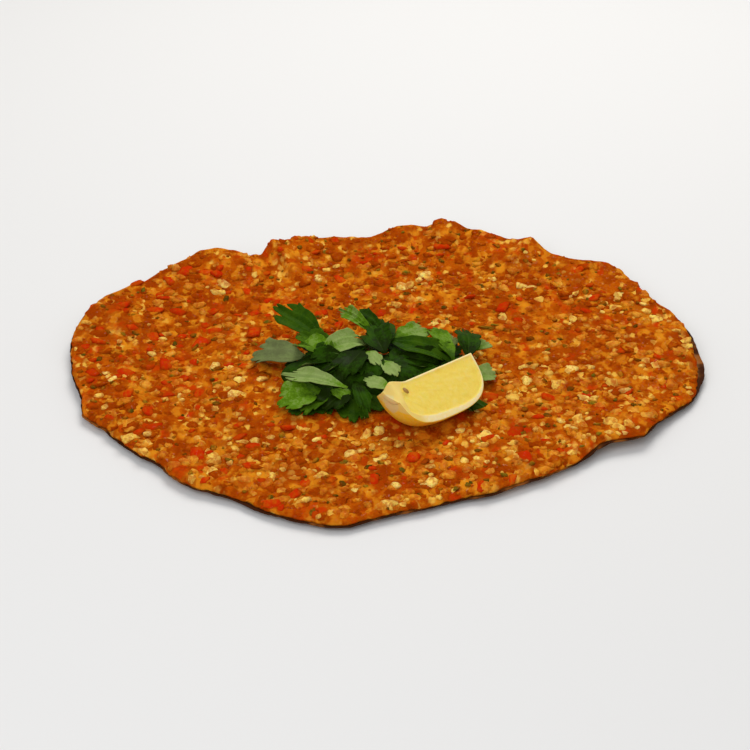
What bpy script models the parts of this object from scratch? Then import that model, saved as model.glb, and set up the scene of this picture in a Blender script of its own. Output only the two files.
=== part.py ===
"""A lahmacun: thin oven-baked flatbread spread with minced meat, with parsley and a lemon wedge on it.

Metres, +Z up. The bread lies on z = 0, and the origin is at the middle of its outline there.
-Y is the near side, where the lemon lies.

Four solids: the flatbread, the meat spread with its larger pieces fused on, the heap of parsley
with its leaves fused to a low core, and the lemon wedge.
"""

import math
import random

import bmesh
import bpy
import numpy as np
from mathutils import Matrix, Vector
from mathutils.geometry import delaunay_2d_cdt

MM = 0.001
SHARP_ANGLE_DEG = 35.0

# Each rule that draws random numbers has its own seed.
RAG_SEED = 11
BARE_RIM_SEED = 5
COARSE_SEED = 3
FINE_SEED = 31
CRUMB_SEED = 23
DICE_SEED = 47

# The hand-stretched outline: bearing in degrees from +X, anticlockwise, and reach in millimetres.
RIM_CORNERS = [
    (4, 158), (14, 159), (23, 156), (38, 159), (50, 148), (58, 154), (64, 151), (76, 158),
    (86, 150), (92, 141), (101, 140), (107, 145), (119, 137), (124, 139), (129, 152), (141, 155),
    (148, 155), (157, 164), (164, 162), (175, 160), (195, 153), (202, 158), (205, 151), (222, 146),
    (238, 145), (250, 151), (263, 154), (270, 144), (282, 134), (294, 134), (302, 131), (313, 130),
    (325, 140), (336, 146), (345, 155), (355, 160),
]
CORNER_ROUNDING_DEG = 3
RAG_ROUNDING_DEG = 2
RAGGED_EDGE = 0.0011
RIM_POINTS = 120

DOUGH_THICK = 0.0022
DOUGH_THIN_EDGE = 0.55
# The dough's facets are coarse, and keep clear of the rim's own points by the inset.
COARSE_SPACING = 0.0150
COARSE_INSET = 0.0120

# Where the baked rim curls up off the table: bearing, half width in degrees, lift in millimetres.
RIM_LIFTS = [
    (20, 16, 3.0), (62, 17, 5.0), (106, 14, 4.2), (150, 18, 3.4), (188, 14, 2.2),
    (228, 16, 1.2), (262, 12, 2.0), (300, 14, 1.4), (328, 12, 3.6),
]
LEAST_LIFT = 0.0006
LIFT_STARTS = 0.60

GAP = 0.0003
# The mince stops short of the rim by a width that changes, and thins out towards its edge.
SPREAD_BARE_RIM = (0.0010, 0.0034)
SPREAD_THICK = 0.0016
SPREAD_CRUMB = 0.0020
CRUMB_RARITY = 1.5
SPREAD_EDGE_THICK = 0.0008
SPREAD_FEATHER = 0.0070
PRESSED_THICK = 0.0019
FINE_SPACING = 0.0065
FINE_INSET = 0.0062
LATTICE_HALF_WIDTH = 0.1700
LATTICE_NUDGE = 0.20

# Pieces that stand out of the mince: length, width, height in metres, and how many of a hundred.
DICE = [
    ("pepper", (0.0085, 0.0058, 0.0026), 24),
    ("onion", (0.0078, 0.0034, 0.0022), 36),
    ("mince", (0.0070, 0.0060, 0.0030), 40),
]
DICE_COUNT = 92
DICE_RIM_MARGIN = 0.0100
DICE_SINK = 0.35
DICE_UNEVENNESS = 0.14

# The low mound under the parsley leaves, flat where it rests.
CORE_PLACE = Vector((-0.0150, -0.0240, 0.0))
CORE_RADII = (0.0360, 0.0190, 0.0080)
CORE_UNEVENNESS = 0.14
PRESSED_MARGIN = 0.0100
PRESSED_BY_LEMON = (1.15, 0.85)
# The ellipse that the leaves and the lemon cover, where no large piece stands out of the mince.
GARNISH_MIDDLE = (-0.0080, -0.0240)
GARNISH_RADII = (0.0660, 0.0500)

LEAF_THICK = 0.0007
LEAF_RINGS = 2
# Half of a leaf's edge, three leaflets in all: degrees off its midrib, and reach in leaf lengths.
LEAF_EDGE = [(0, 1.0), (20, 0.90), (31, 0.38), (43, 0.78), (64, 0.88), (84, 0.76), (97, 0.30)]
LEAFLET_RIBS_DEG = (-64, 0, 64)
LEAF_STALK_END = -0.10
LEAF_FOLD = 0.16
LEAF_WAVE = 0.03
# Leaves ease on to the mince at slightly different heights, so that no two share a face.
LEAF_REST_STEP = 0.00006
LEAF_EASE = 0.0020
# Each leaf: where its stalk meets the blade in mm, bearing, pitch up, roll, length in mm, droop.
LEAVES = [
    (-38, -16, 12, 192, 6, 18, 31, 0.30),
    (-34, -4, 13, 138, 30, -8, 30, 0.22),
    (-10, -6, 15, 122, 26, 20, 29, 0.26),
    (-20, -14, 19, 100, 14, -10, 26, 0.34),
    (-28, -31, 16, 244, 5, 12, 32, 0.42),
    (-36, -34, 11, 196, 2, -20, 31, 0.30),
    (-34, -40, 8, 226, -2, 8, 30, 0.20),
    (-14, -40, 11, 262, 2, 6, 27, 0.36),
    (-7, -21, 19, 297, 8, -12, 26, 0.40),
    (6, -12, 17, 30, 10, 14, 31, 0.30),
    (14, -16, 13, 4, 18, -16, 29, 0.28),
    (22, -17, 9, 340, 8, 10, 29, 0.16),
    (0, -8, 16, 68, 20, 8, 27, 0.34),
    (-22, -22, 21, 176, 10, 10, 29, 0.40),
    (1, -20, 20, 346, 6, 16, 25, 0.34),
]

# The lemon is a blunt barrel with a low nub at its stem end, cut lengthwise into a wedge.
LEMON_RADIUS = 0.0243
LEMON_HALF_LENGTH = 0.0267
LEMON_ROUNDING = (2.9, 0.30)
LEMON_NUB_RADIUS = 0.0075
LEMON_NUB_LENGTH = 0.0024
LEMON_WEDGE_DEG = 96.0
LEMON_PLACE = Vector((0.0211, -0.0562, 0.0))
LEMON_BEARING_DEG = 41.0
LEMON_PROFILE_STEPS = 24
LEMON_SPIN_STEPS = 9
LEAF_TO_LEMON = 0.0022


def clear_scene():
    for old in list(bpy.data.objects):
        bpy.data.objects.remove(old, do_unlink=True)


def new_collection(name):
    made = bpy.data.collections.new(name)
    bpy.context.scene.collection.children.link(made)
    return made


def food_material(name, colour, roughness):
    made = bpy.data.materials.new(name)
    made.use_nodes = True
    shader = made.node_tree.nodes["Principled BSDF"]
    shader.inputs["Base Color"].default_value = (*colour, 1.0)
    shader.inputs["Roughness"].default_value = roughness
    shader.inputs["Metallic"].default_value = 0.0
    return made


def add_object(name, mesh, collection, finish=None):
    made = bpy.data.objects.new(name, mesh)
    collection.objects.link(made)
    if finish:
        mesh.materials.append(finish)
    return made


def shade_round(made):
    made.data.shade_smooth()
    made.data.set_sharp_from_angle(angle=math.radians(SHARP_ANGLE_DEG))


def mesh_from(name, points, faces):
    mesh = bpy.data.meshes.new(name)
    mesh.from_pydata([tuple(p) for p in points], [], [tuple(f) for f in faces])
    shape = bmesh.new()
    shape.from_mesh(mesh)
    bmesh.ops.recalc_face_normals(shape, faces=shape.faces)
    shape.to_mesh(mesh)
    shape.free()
    return mesh


def bake_modifiers(made):
    """The object's evaluated mesh takes the place of its own, and the modifiers go."""
    graph = bpy.context.evaluated_depsgraph_get()
    baked = bpy.data.meshes.new_from_object(made.evaluated_get(graph))
    made.modifiers.clear()
    made.data = baked


def smooth_ring(values, reach):
    """A closed ring of values, averaged with its neighbours with a bell of that reach in steps."""
    steps = np.arange(-3 * reach, 3 * reach + 1)
    bell = np.exp(-((steps / reach) ** 2))
    padded = np.concatenate([values[-3 * reach:], values, values[:3 * reach]])
    return np.convolve(padded, bell / bell.sum(), mode="valid")


def outline_rule():
    """Rim reach at each degree: straight runs between the corners, rounded, with a ragged edge."""
    corners = sorted(RIM_CORNERS)
    bearings = [c[0] for c in corners]
    reaches = [c[1] * MM for c in corners]
    degrees = np.arange(360)
    reach = np.interp(degrees, bearings, reaches, period=360)
    draw = random.Random(RAG_SEED)
    rags = np.array([draw.uniform(-1, 1) for _ in degrees])
    rags = smooth_ring(rags, RAG_ROUNDING_DEG)
    reach = smooth_ring(reach, CORNER_ROUNDING_DEG) + RAGGED_EDGE * rags / abs(rags).max()
    # The outline is moved so that the middle of its box is the origin.
    angle = np.radians(degrees)
    x = reach * np.cos(angle)
    y = reach * np.sin(angle)
    x = x - (x.max() + x.min()) / 2
    y = y - (y.max() + y.min()) / 2
    bearing = np.degrees(np.arctan2(y, x)) % 360
    order = np.argsort(bearing)
    return np.interp(degrees, bearing[order], np.hypot(x, y)[order], period=360)


RIM = outline_rule()


def polar(x, y):
    return math.hypot(x, y), math.degrees(math.atan2(y, x)) % 360


def rim_reach(bearing):
    return float(np.interp(bearing, np.arange(360), RIM, period=360))


def bearing_gap(a, b):
    return (a - b + 180) % 360 - 180


def rim_lift(bearing):
    """How far the underside of the rim stands off the table."""
    humps = sum(
        lift * MM * math.exp(-((bearing_gap(bearing, at) / width) ** 2))
        for at, width, lift in RIM_LIFTS
    )
    return LEAST_LIFT + humps


def bread_top(x, y):
    """Height of the dough's upper face: level in the middle, curling up towards the rim."""
    distance, bearing = polar(x, y)
    share = (distance / rim_reach(bearing) - LIFT_STARTS) / (1 - LIFT_STARTS)
    share = min(max(share, 0.0), 1.0)
    return DOUGH_THICK + rim_lift(bearing) * share * share * (3 - 2 * share)


def loop_points(count, inset_rule):
    """A closed loop that follows the rim, set in from it by the rule's distance."""
    points = []
    for step in range(count):
        bearing = 360 * step / count
        reach = rim_reach(bearing) - inset_rule(step)
        angle = math.radians(bearing)
        points.append(Vector((reach * math.cos(angle), reach * math.sin(angle))))
    return points


def lattice_points(spacing, inset, seed):
    """Points in offset rows, each nudged a little, inside the rim by the inset."""
    draw = random.Random(seed)
    row_height = spacing * math.sqrt(3) / 2
    rows = int(LATTICE_HALF_WIDTH / row_height) + 1
    nudge = LATTICE_NUDGE * spacing
    points = []
    for row in range(-rows, rows + 1):
        for column in range(-rows, rows + 1):
            x = (column + 0.5 * (row % 2)) * spacing + draw.uniform(-nudge, nudge)
            y = row * row_height + draw.uniform(-nudge, nudge)
            distance, bearing = polar(x, y)
            if distance < rim_reach(bearing) - inset:
                points.append(Vector((x, y)))
    return points


def triangulate(loops, inner):
    """Triangles that fill the first loop and keep every loop's edges. The points keep their order."""
    points = [p for loop in loops for p in loop] + inner
    edges = []
    start = 0
    for loop in loops:
        count = len(loop)
        edges += [(start + i, start + (i + 1) % count) for i in range(count)]
        start += count
    made, _, faces, *_ = delaunay_2d_cdt(points, edges, [], 1, 1e-7)
    if len(made) != len(points):
        raise ValueError("the outline's loops cross or repeat a point")
    return [tuple(p) for p in made], [tuple(f) for f in faces]


def make_flatbread(loops, inner, collection, finish):
    """The dough's upper face as a sheet, thickened downwards, thinner at the very rim."""
    flat, faces = triangulate(loops, inner)
    mesh = mesh_from("flatbread", [(x, y, bread_top(x, y)) for x, y in flat], faces)
    if sum(p.normal.z for p in mesh.polygons) < 0:
        mesh.flip_normals()
    made = add_object("flatbread", mesh, collection, finish)
    depth = made.vertex_groups.new(name="depth")
    depth.add(list(range(len(flat))), 1.0, "REPLACE")
    depth.add(list(range(RIM_POINTS)), DOUGH_THIN_EDGE, "REPLACE")
    shell = made.modifiers.new("thickness", "SOLIDIFY")
    shell.thickness = DOUGH_THICK
    shell.offset = -1.0
    shell.vertex_group = "depth"
    return made


def in_pressed_zone(x, y):
    """Whether the garnish lies on this spot and has pressed the mince level."""
    across = (x - CORE_PLACE.x) / (CORE_RADII[0] + PRESSED_MARGIN)
    along = (y - CORE_PLACE.y) / (CORE_RADII[1] + PRESSED_MARGIN)
    if across * across + along * along < 1:
        return True
    offset = Vector((x, y, 0.0)) - LEMON_PLACE
    turned = Matrix.Rotation(-math.radians(LEMON_BEARING_DEG), 4, "Z") @ offset
    half_length = LEMON_HALF_LENGTH * PRESSED_BY_LEMON[0]
    half_width = LEMON_RADIUS * PRESSED_BY_LEMON[1]
    return abs(turned.x) < half_length and abs(turned.y) < half_width


def under_garnish(x, y):
    across = (x - GARNISH_MIDDLE[0]) / GARNISH_RADII[0]
    along = (y - GARNISH_MIDDLE[1]) / GARNISH_RADII[1]
    return across * across + along * along < 1 or in_pressed_zone(x, y)


def spread_thickness(x, y, draw):
    """Depth of the mince at a point: a thin layer with a crumb of random height on it."""
    distance, bearing = polar(x, y)
    crumb = SPREAD_CRUMB * draw.random() ** CRUMB_RARITY
    full = PRESSED_THICK if in_pressed_zone(x, y) else SPREAD_THICK + crumb
    inward = (rim_reach(bearing) - distance - SPREAD_BARE_RIM[0]) / SPREAD_FEATHER
    inward = min(max(inward, 0.0), 1.0)
    return SPREAD_EDGE_THICK + (full - SPREAD_EDGE_THICK) * inward


def make_spread_slab(loop, coarse, collection, finish):
    """The mince as a slab: a crumbly top on a fine lattice, over the dough's own coarse facets."""
    draw = random.Random(CRUMB_SEED)
    under_flat, under_faces = triangulate([loop], coarse)
    over_flat, over_faces = triangulate([loop], lattice_points(FINE_SPACING, FINE_INSET, FINE_SEED))
    under = [(x, y, bread_top(x, y) + GAP) for x, y in under_flat]
    over = [
        (x, y, bread_top(x, y) + GAP + spread_thickness(x, y, draw)) for x, y in over_flat
    ]
    shift = len(under)
    rim = len(loop)
    walls = [
        (i, (i + 1) % rim, shift + (i + 1) % rim, shift + i) for i in range(rim)
    ]
    faces = under_faces + [tuple(shift + i for i in face) for face in over_faces] + walls
    return add_object(
        "meat_spread", mesh_from("meat_spread", under + over, faces), collection, finish
    )


def add_dice(collection):
    """The larger pieces in the mince, evenly spread on a sunflower spiral, each sunk half way."""
    draw = random.Random(DICE_SEED)
    kinds = [(name, size) for name, size, share in DICE for _ in range(share)]
    for step in range(DICE_COUNT):
        angle = step * math.pi * (3 - math.sqrt(5)) + draw.uniform(-0.1, 0.1)
        bearing = math.degrees(angle) % 360
        reach = (rim_reach(bearing) - DICE_RIM_MARGIN) * math.sqrt((step + 0.5) / DICE_COUNT)
        x = reach * math.cos(angle)
        y = reach * math.sin(angle)
        name, size = kinds[draw.randrange(len(kinds))]
        turn = draw.uniform(0, math.pi)
        grow = draw.uniform(0.8, 1.2)
        if under_garnish(x, y):
            continue
        shape = bmesh.new()
        if name == "mince":
            bmesh.ops.create_icosphere(shape, subdivisions=1, radius=0.5)
        else:
            bmesh.ops.create_cube(shape, size=1.0)
        for corner in shape.verts:
            corner.co *= 1 + draw.uniform(-DICE_UNEVENNESS, DICE_UNEVENNESS)
        bmesh.ops.scale(shape, vec=[side * grow for side in size], verts=shape.verts)
        mesh = bpy.data.meshes.new(f"{name}_{step}")
        shape.to_mesh(mesh)
        shape.free()
        made = add_object(mesh.name, mesh, collection)
        outward = Vector((math.cos(angle), math.sin(angle), 0.0))
        a_step_out = Vector((x, y, 0.0)) + MM * outward
        slope = (bread_top(a_step_out.x, a_step_out.y) - bread_top(x, y)) / MM
        tilt = Matrix.Rotation(-math.atan(slope), 4, Vector((-outward.y, outward.x, 0.0)))
        height = bread_top(x, y) + GAP + SPREAD_THICK + DICE_SINK * size[2]
        made.matrix_world = (
            Matrix.Translation((x, y, height)) @ tilt @ Matrix.Rotation(turn, 4, "Z")
        )


def join_collection(made, pieces):
    """One union of the object with every piece of the collection, whose objects then go."""
    join = made.modifiers.new("join", "BOOLEAN")
    join.operation = "UNION"
    join.operand_type = "COLLECTION"
    join.collection = pieces
    join.solver = "MANIFOLD"
    bpy.context.view_layer.update()
    bake_modifiers(made)
    for piece in list(pieces.objects):
        bpy.data.objects.remove(piece, do_unlink=True)
    bpy.data.collections.remove(pieces)


def closed_alone(body):
    """Whether two of the body's own faces meet at each of its edges."""
    return all(
        sum(face in body for face in edge.link_faces) == 2 for near in body for edge in near.edges
    )


def keep_largest_body(made):
    """Drops what the union left loose, and the walls of any hollow that it sealed."""
    shape = bmesh.new()
    shape.from_mesh(made.data)
    bmesh.ops.triangulate(shape, faces=shape.faces)
    unseen = set(shape.faces)
    bodies = []
    while unseen:
        front = [unseen.pop()]
        body = set(front)
        while front:
            edges = {edge for face in front for edge in face.edges if len(edge.link_faces) == 2}
            near = {face for edge in edges for face in edge.link_faces}
            front = list(near - body)
            body |= near
        unseen -= body
        bodies.append(body)
    bodies.remove(max(bodies, key=len))
    scraps = [face for body in bodies if closed_alone(body) for face in body]
    bmesh.ops.delete(shape, geom=scraps, context="FACES")
    shape.to_mesh(made.data)
    shape.free()


def pressed_top():
    """Height of the mince where the core of the heap and the lemon press it level."""
    return DOUGH_THICK + GAP + PRESSED_THICK


def loose_top(x, y):
    """The highest that the mince's crumb can stand at a point."""
    return bread_top(x, y) + GAP + SPREAD_THICK + SPREAD_CRUMB


def beside_lemon(place):
    """The point, moved straight back to the lemon's far side if it would come too near or inside."""
    turn = Matrix.Rotation(math.radians(LEMON_BEARING_DEG), 4, "Z")
    off_lemon = turn.inverted() @ (place - LEMON_PLACE)
    side = LEMON_RADIUS * math.sin(math.radians(LEMON_WEDGE_DEG / 2)) + LEAF_TO_LEMON
    if abs(off_lemon.x) < LEMON_HALF_LENGTH + LEAF_TO_LEMON and abs(off_lemon.y) < side:
        off_lemon.y = side
    return LEMON_PLACE + turn @ off_lemon


def settled(height, floor):
    """The height where it is well over the floor, eased to just over the floor where it isn't."""
    above = height - floor
    return floor + (above + math.hypot(above, LEAF_EASE)) / 2


def add_leaf(index, place, bearing, pitch, roll, length, droop, collection):
    """A leaf as a sheet of spokes round its stalk, folded along each leaflet and drooping."""
    spoke_list = [(-angle, reach) for angle, reach in reversed(LEAF_EDGE[1:])] + LEAF_EDGE
    points = [Vector((LEAF_STALK_END, 0, 0))]
    for ring in range(1, LEAF_RINGS + 1):
        for angle, reach in spoke_list:
            out = reach * ring / LEAF_RINGS
            turn = math.radians(angle)
            off_rib = math.radians(min(abs(angle - rib) for rib in LEAFLET_RIBS_DEG))
            fold = LEAF_FOLD * off_rib * out
            sag = droop * out * out
            wave = LEAF_WAVE * math.sin(5 * turn + index) * out
            points.append(Vector((out * math.cos(turn), out * math.sin(turn), fold - sag + wave)))
    spokes = len(spoke_list)
    faces = [(0, 1 + i, 2 + i) for i in range(spokes - 1)]
    for ring in range(LEAF_RINGS - 1):
        start = 1 + ring * spokes
        for i in range(spokes - 1):
            a, b = start + i, start + i + 1
            faces += [(a, a + spokes, b), (b, a + spokes, b + spokes)]
    frame = (
        Matrix.Translation(place)
        @ Matrix.Rotation(math.radians(bearing), 4, "Z")
        @ Matrix.Rotation(-math.radians(pitch), 4, "Y")
        @ Matrix.Rotation(math.radians(roll), 4, "X")
        @ Matrix.Scale(length, 4)
    )
    points = [beside_lemon(frame @ p) for p in points]
    for p in points:
        p.z = settled(p.z, loose_top(p.x, p.y) + GAP + LEAF_REST_STEP * index)
    mesh = mesh_from(f"leaf_{index}", points, faces)
    if sum(p.normal.z for p in mesh.polygons) < 0:
        mesh.flip_normals()
    made = add_object(mesh.name, mesh, collection)
    shell = made.modifiers.new("thickness", "SOLIDIFY")
    shell.thickness = LEAF_THICK
    shell.offset = 1.0
    bpy.context.view_layer.update()
    bake_modifiers(made)


def make_parsley(parts, collection, finish):
    """The heap: a low core with every leaf fused to it."""
    shape = bmesh.new()
    bmesh.ops.create_icosphere(shape, subdivisions=2, radius=1.0)
    base = pressed_top() + GAP
    for corner in shape.verts:
        bump = 1 + CORE_UNEVENNESS * math.sin(5 * corner.co.x + 1) * math.cos(7 * corner.co.y)
        across, along, up = (
            radius * share * bump for radius, share in zip(CORE_RADII, corner.co)
        )
        middle = base + CORE_RADII[2] / 2
        corner.co = Vector(
            (CORE_PLACE.x + across, CORE_PLACE.y + along, max(middle + up, base))
        )
    mesh = bpy.data.meshes.new("parsley")
    shape.to_mesh(mesh)
    shape.free()
    made = add_object("parsley", mesh, parts, finish)
    for index, (x, y, z, bearing, pitch, roll, length, droop) in enumerate(LEAVES):
        place = Vector((x * MM, y * MM, z * MM))
        add_leaf(index, place, bearing, pitch, roll, length * MM, droop, collection)
    join_collection(made, collection)
    return made


def lemon_reach(along):
    """Radius of the lemon at a distance along its core from its middle, the stem end being -X."""
    power, root = LEMON_ROUNDING
    body = LEMON_RADIUS * max(1 - abs(along / LEMON_HALF_LENGTH) ** power, 0) ** root
    past_end = max(-along - LEMON_HALF_LENGTH, 0) / LEMON_NUB_LENGTH
    nub = LEMON_NUB_RADIUS * math.sqrt(max(1 - past_end ** 2, 0))
    return max(body, nub) if along < 0 else body


def make_lemon(collection, finish):
    """Half of the lemon's long section, spun about its core by the wedge's angle, rind down."""
    shape = bmesh.new()
    start = -math.radians(LEMON_WEDGE_DEG / 2)
    left = -LEMON_HALF_LENGTH - LEMON_NUB_LENGTH
    right = LEMON_HALF_LENGTH
    core = [shape.verts.new((end, 0, 0)) for end in (left, right)]
    arc = []
    for step in range(1, LEMON_PROFILE_STEPS):
        share = (1 - math.cos(math.pi * step / LEMON_PROFILE_STEPS)) / 2
        along = left + (right - left) * share
        reach = lemon_reach(along)
        place = (along, reach * math.sin(start), -reach * math.cos(start))
        arc.append(shape.verts.new(place))
    face = shape.faces.new([core[0], *arc, core[1]])
    bmesh.ops.spin(
        shape,
        geom=[face, *face.edges[:], *face.verts[:]],
        axis=(1, 0, 0),
        cent=(0, 0, 0),
        angle=math.radians(LEMON_WEDGE_DEG),
        steps=LEMON_SPIN_STEPS,
    )
    bmesh.ops.remove_doubles(shape, verts=shape.verts, dist=1e-6)
    bmesh.ops.recalc_face_normals(shape, faces=shape.faces)
    mesh = bpy.data.meshes.new("lemon_wedge")
    shape.to_mesh(mesh)
    shape.free()
    made = add_object("lemon_wedge", mesh, collection, finish)
    made.location = LEMON_PLACE + Vector((0, 0, pressed_top() + GAP + LEMON_RADIUS))
    made.rotation_euler = (0, 0, math.radians(LEMON_BEARING_DEG))
    return made


def main():
    clear_scene()
    parts = new_collection("lahmacun")
    draw = random.Random(BARE_RIM_SEED)
    bare = [draw.uniform(*SPREAD_BARE_RIM) for _ in range(RIM_POINTS)]
    rim = loop_points(RIM_POINTS, lambda step: 0.0)
    spread_rim = loop_points(RIM_POINTS, lambda step: bare[step])
    coarse = lattice_points(COARSE_SPACING, COARSE_INSET, COARSE_SEED)
    bread = make_flatbread(
        [rim, spread_rim], coarse, parts, food_material("baked dough", (0.62, 0.36, 0.15), 0.75)
    )
    spread = make_spread_slab(
        spread_rim, coarse, parts, food_material("spiced mince", (0.42, 0.09, 0.008), 0.5)
    )
    dice = new_collection("dice")
    add_dice(dice)
    join_collection(spread, dice)
    keep_largest_body(spread)
    leaves = new_collection("leaves")
    parsley = make_parsley(
        parts, leaves, food_material("parsley green", (0.035, 0.085, 0.008), 0.45)
    )
    keep_largest_body(parsley)
    lemon = make_lemon(parts, food_material("lemon", (0.80, 0.58, 0.10), 0.4))
    for made in (bread, spread, parsley, lemon):
        shade_round(made)


main()
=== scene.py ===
"""The look of a lahmacun: baked dough, a crumbly topping, a heap of parsley and a lemon wedge.

Metres, +Z up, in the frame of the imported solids: the bread lies on z = 0 and -Y is the near side.
"""

import math

import bpy
import numpy as np
from bpy.props import FloatProperty, FloatVectorProperty, PointerProperty
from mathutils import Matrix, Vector


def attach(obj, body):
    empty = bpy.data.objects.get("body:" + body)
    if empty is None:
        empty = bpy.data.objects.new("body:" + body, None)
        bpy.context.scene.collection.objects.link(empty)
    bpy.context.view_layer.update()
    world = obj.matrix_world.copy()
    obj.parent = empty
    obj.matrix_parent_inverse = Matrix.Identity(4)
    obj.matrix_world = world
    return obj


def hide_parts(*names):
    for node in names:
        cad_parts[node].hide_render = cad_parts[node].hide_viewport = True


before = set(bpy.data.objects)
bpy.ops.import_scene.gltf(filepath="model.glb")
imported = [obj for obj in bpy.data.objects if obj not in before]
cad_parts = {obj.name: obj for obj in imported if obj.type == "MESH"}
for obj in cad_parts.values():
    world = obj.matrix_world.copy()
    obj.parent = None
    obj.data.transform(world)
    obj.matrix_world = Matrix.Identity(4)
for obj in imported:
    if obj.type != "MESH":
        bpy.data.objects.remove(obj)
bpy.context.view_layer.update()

bl_info = {
    "name": "Lahmacun",
    "version": (1, 0, 0),
    "blender": (4, 5, 0),
    "location": "3D View > Sidebar > Lahmacun",
    "description": "Builds the bread, topping, parsley and lemon wedge of a lahmacun",
    "category": "Add Mesh",
}

MM = 0.001
# How many squares of a random lattice there are before it repeats.
TILE = 256
BLACK = (0.0, 0.0, 0.0)
# How light scatters in the oily topping.
SOFT = {"Subsurface_Weight": 0.35, "Subsurface_Scale": 0.003,
        "Subsurface_Radius": (1.0, 0.4, 0.12)}

# The bread: the rim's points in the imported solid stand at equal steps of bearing. RIM_BAND is
# the depth of its outermost corners, and RIM_POINTS the rim's points in this mesh.
RIM_STEPS = 120
RIM_BAND = 1.5 * MM
RIM_POINTS = 900
REACH, HEIGHT, BARE = 1, 2, 3
DOUGH_THICK = 2.2 * MM
LIFT_STARTS = 0.60
# Where the torn rim stands up, falls short or was left bare: bearing and half width in degrees,
# then the lift, the reach and the bare width in millimetres.
RIM_TEARS = [
    (172, 5, 3.5, 0, 0), (163.5, 3, 3.8, 0, 0), (148, 2, -2, 0, 0), (138, 5, 1.5, 0, 0),
    (134.5, 2.5, -1.5, 0, 0), (130, 6, 6.5, 0, 0), (121, 2.5, -1.8, 0, 0),
    (116.5, 2.5, 7.5, 0, 0), (110.5, 3, 1.6, 0, 0), (105, 2, -1.5, 0, 0), (86, 5, 5, 0, 0),
    (76.5, 2.2, 7.5, 0, 0), (69, 3, 1.5, 0, 0), (61.5, 2, -1.3, 0, 0), (57, 2, 3.5, 0, 0),
    (39.5, 6, 4.5, 0, 0), (7, 5, 3, 0, 1), (357, 7, 1.5, 0.2, 3), (330, 4, 0, 1.5, 0),
    (327, 4, 0, 2.5, 0), (320, 4, 1, -2.2, 1), (312, 6, 0, 3, 0), (303, 4, 0, 1, 0),
    (260, 10, -1.6, 0, 0), (254, 6, 0, 1.2, 0), (246, 4, 0, 0, 1), (233, 5, 0, 5, 0),
]
# The topping: its gap over the dough, its bare margin at the rim, the farthest that bits are
# tried, the distance over which a lean changes their chance by its own amount, and the points
# along each side of its grid.
GAP = 0.3 * MM
MARGIN = 1.2 * MM
WIDEST = 170 * MM
HALF_WAY = 80 * MM
MINCE_POINTS = 292

# The core of the parsley heap, with the height of its flat base, and the whole heap's outline.
CORE_PLACE = (-15.0 * MM, -24.0 * MM)
CORE_RADII = (36.0 * MM, 19.0 * MM, 8.0 * MM)
CORE_BASE = 4.7 * MM
HEAP_PLACE = (-8.0 * MM, -24.0 * MM)
HEAP_RADII = (62.0 * MM, 46.0 * MM)

# The lemon wedge: the middle of its core line, the way that line points, its turned outline,
# how much its stem's end is shortened, half its angle, and the place of its stem scar.
LEMON_CORE = (21.1 * MM, -56.2 * MM, 29.0 * MM)
LEMON_AHEAD = (math.cos(math.radians(41.0)), math.sin(math.radians(41.0)))
LEMON_RADIUS = 24.3 * MM
LEMON_HALF_LENGTH = 26.7 * MM
LEMON_ROUNDING = (2.9, 0.30)
LEMON_NUB = (8.5 * MM, 1.2 * MM)
LEMON_BLUNT = 0.22
LEMON_HALF_WEDGE = math.radians(48.0)
SCAR_PLACE = (2.4 * MM, -71.8 * MM, 19.6 * MM)

# The height that stands for nothing lying over the mince, and the height of the rind under
# which nothing is strewn.
NOTHING_OVER = 1.0
RIND_LOW = 12 * MM

# The leaves of the heap: x, y, z of the stalk's end, bearing, pitch and roll in degrees, length,
# and droop. Lengths are in millimetres.
LEAVES = [
    (-36, -14, 9, 196, 2, 18, 15, 0.30),
    (-32, -6, 12, 142, 8, -8, 17, 0.22),
    (-10, -6, 14, 116, 8, 20, 17, 0.26),
    (-22, -14, 17, 104, 4, -10, 18, 0.34),
    (-28, -31, 12, 244, 2, 12, 26, 0.36),
    (-34, -36, 9, 206, 2, -20, 17, 0.30),
    (-32, -40, 8, 226, -2, 8, 24, 0.20),
    (-14, -40, 11, 262, 2, 6, 27, 0.36),
    (-7, -22, 15, 297, 4, -12, 22, 0.36),
    (8, -12, 14, 30, 4, 14, 25, 0.30),
    (14, -16, 11, 4, 8, -16, 26, 0.26),
    (22, -17, 9, 340, 8, 10, 29, 0.16),
    (2, -8, 14, 68, 8, 8, 20, 0.34),
    (-24, -24, 18, 170, 4, 10, 22, 0.40),
    (2, -20, 16, 346, 2, 16, 20, 0.34),
]
LEAFLET_RIBS = np.radians([-64.0, 0.0, 64.0])
UNDER_LEAF_SIZE = 0.85
UNDER_LEAF_SINK = 2.0
LEAFLET_GRID = (53, 10)
# A leaf's height over the mince, the extra height of each next one, how softly it lands, its
# distance from the lemon, and the height of the stalks' roots.
LEAF_REST = 1.0 * MM
LEAF_STEP = 0.02 * MM
LEAF_EASE = 1.5 * MM
LEAF_ASIDE = 1.2 * MM
STALK_ROOT = 8 * MM
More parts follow.
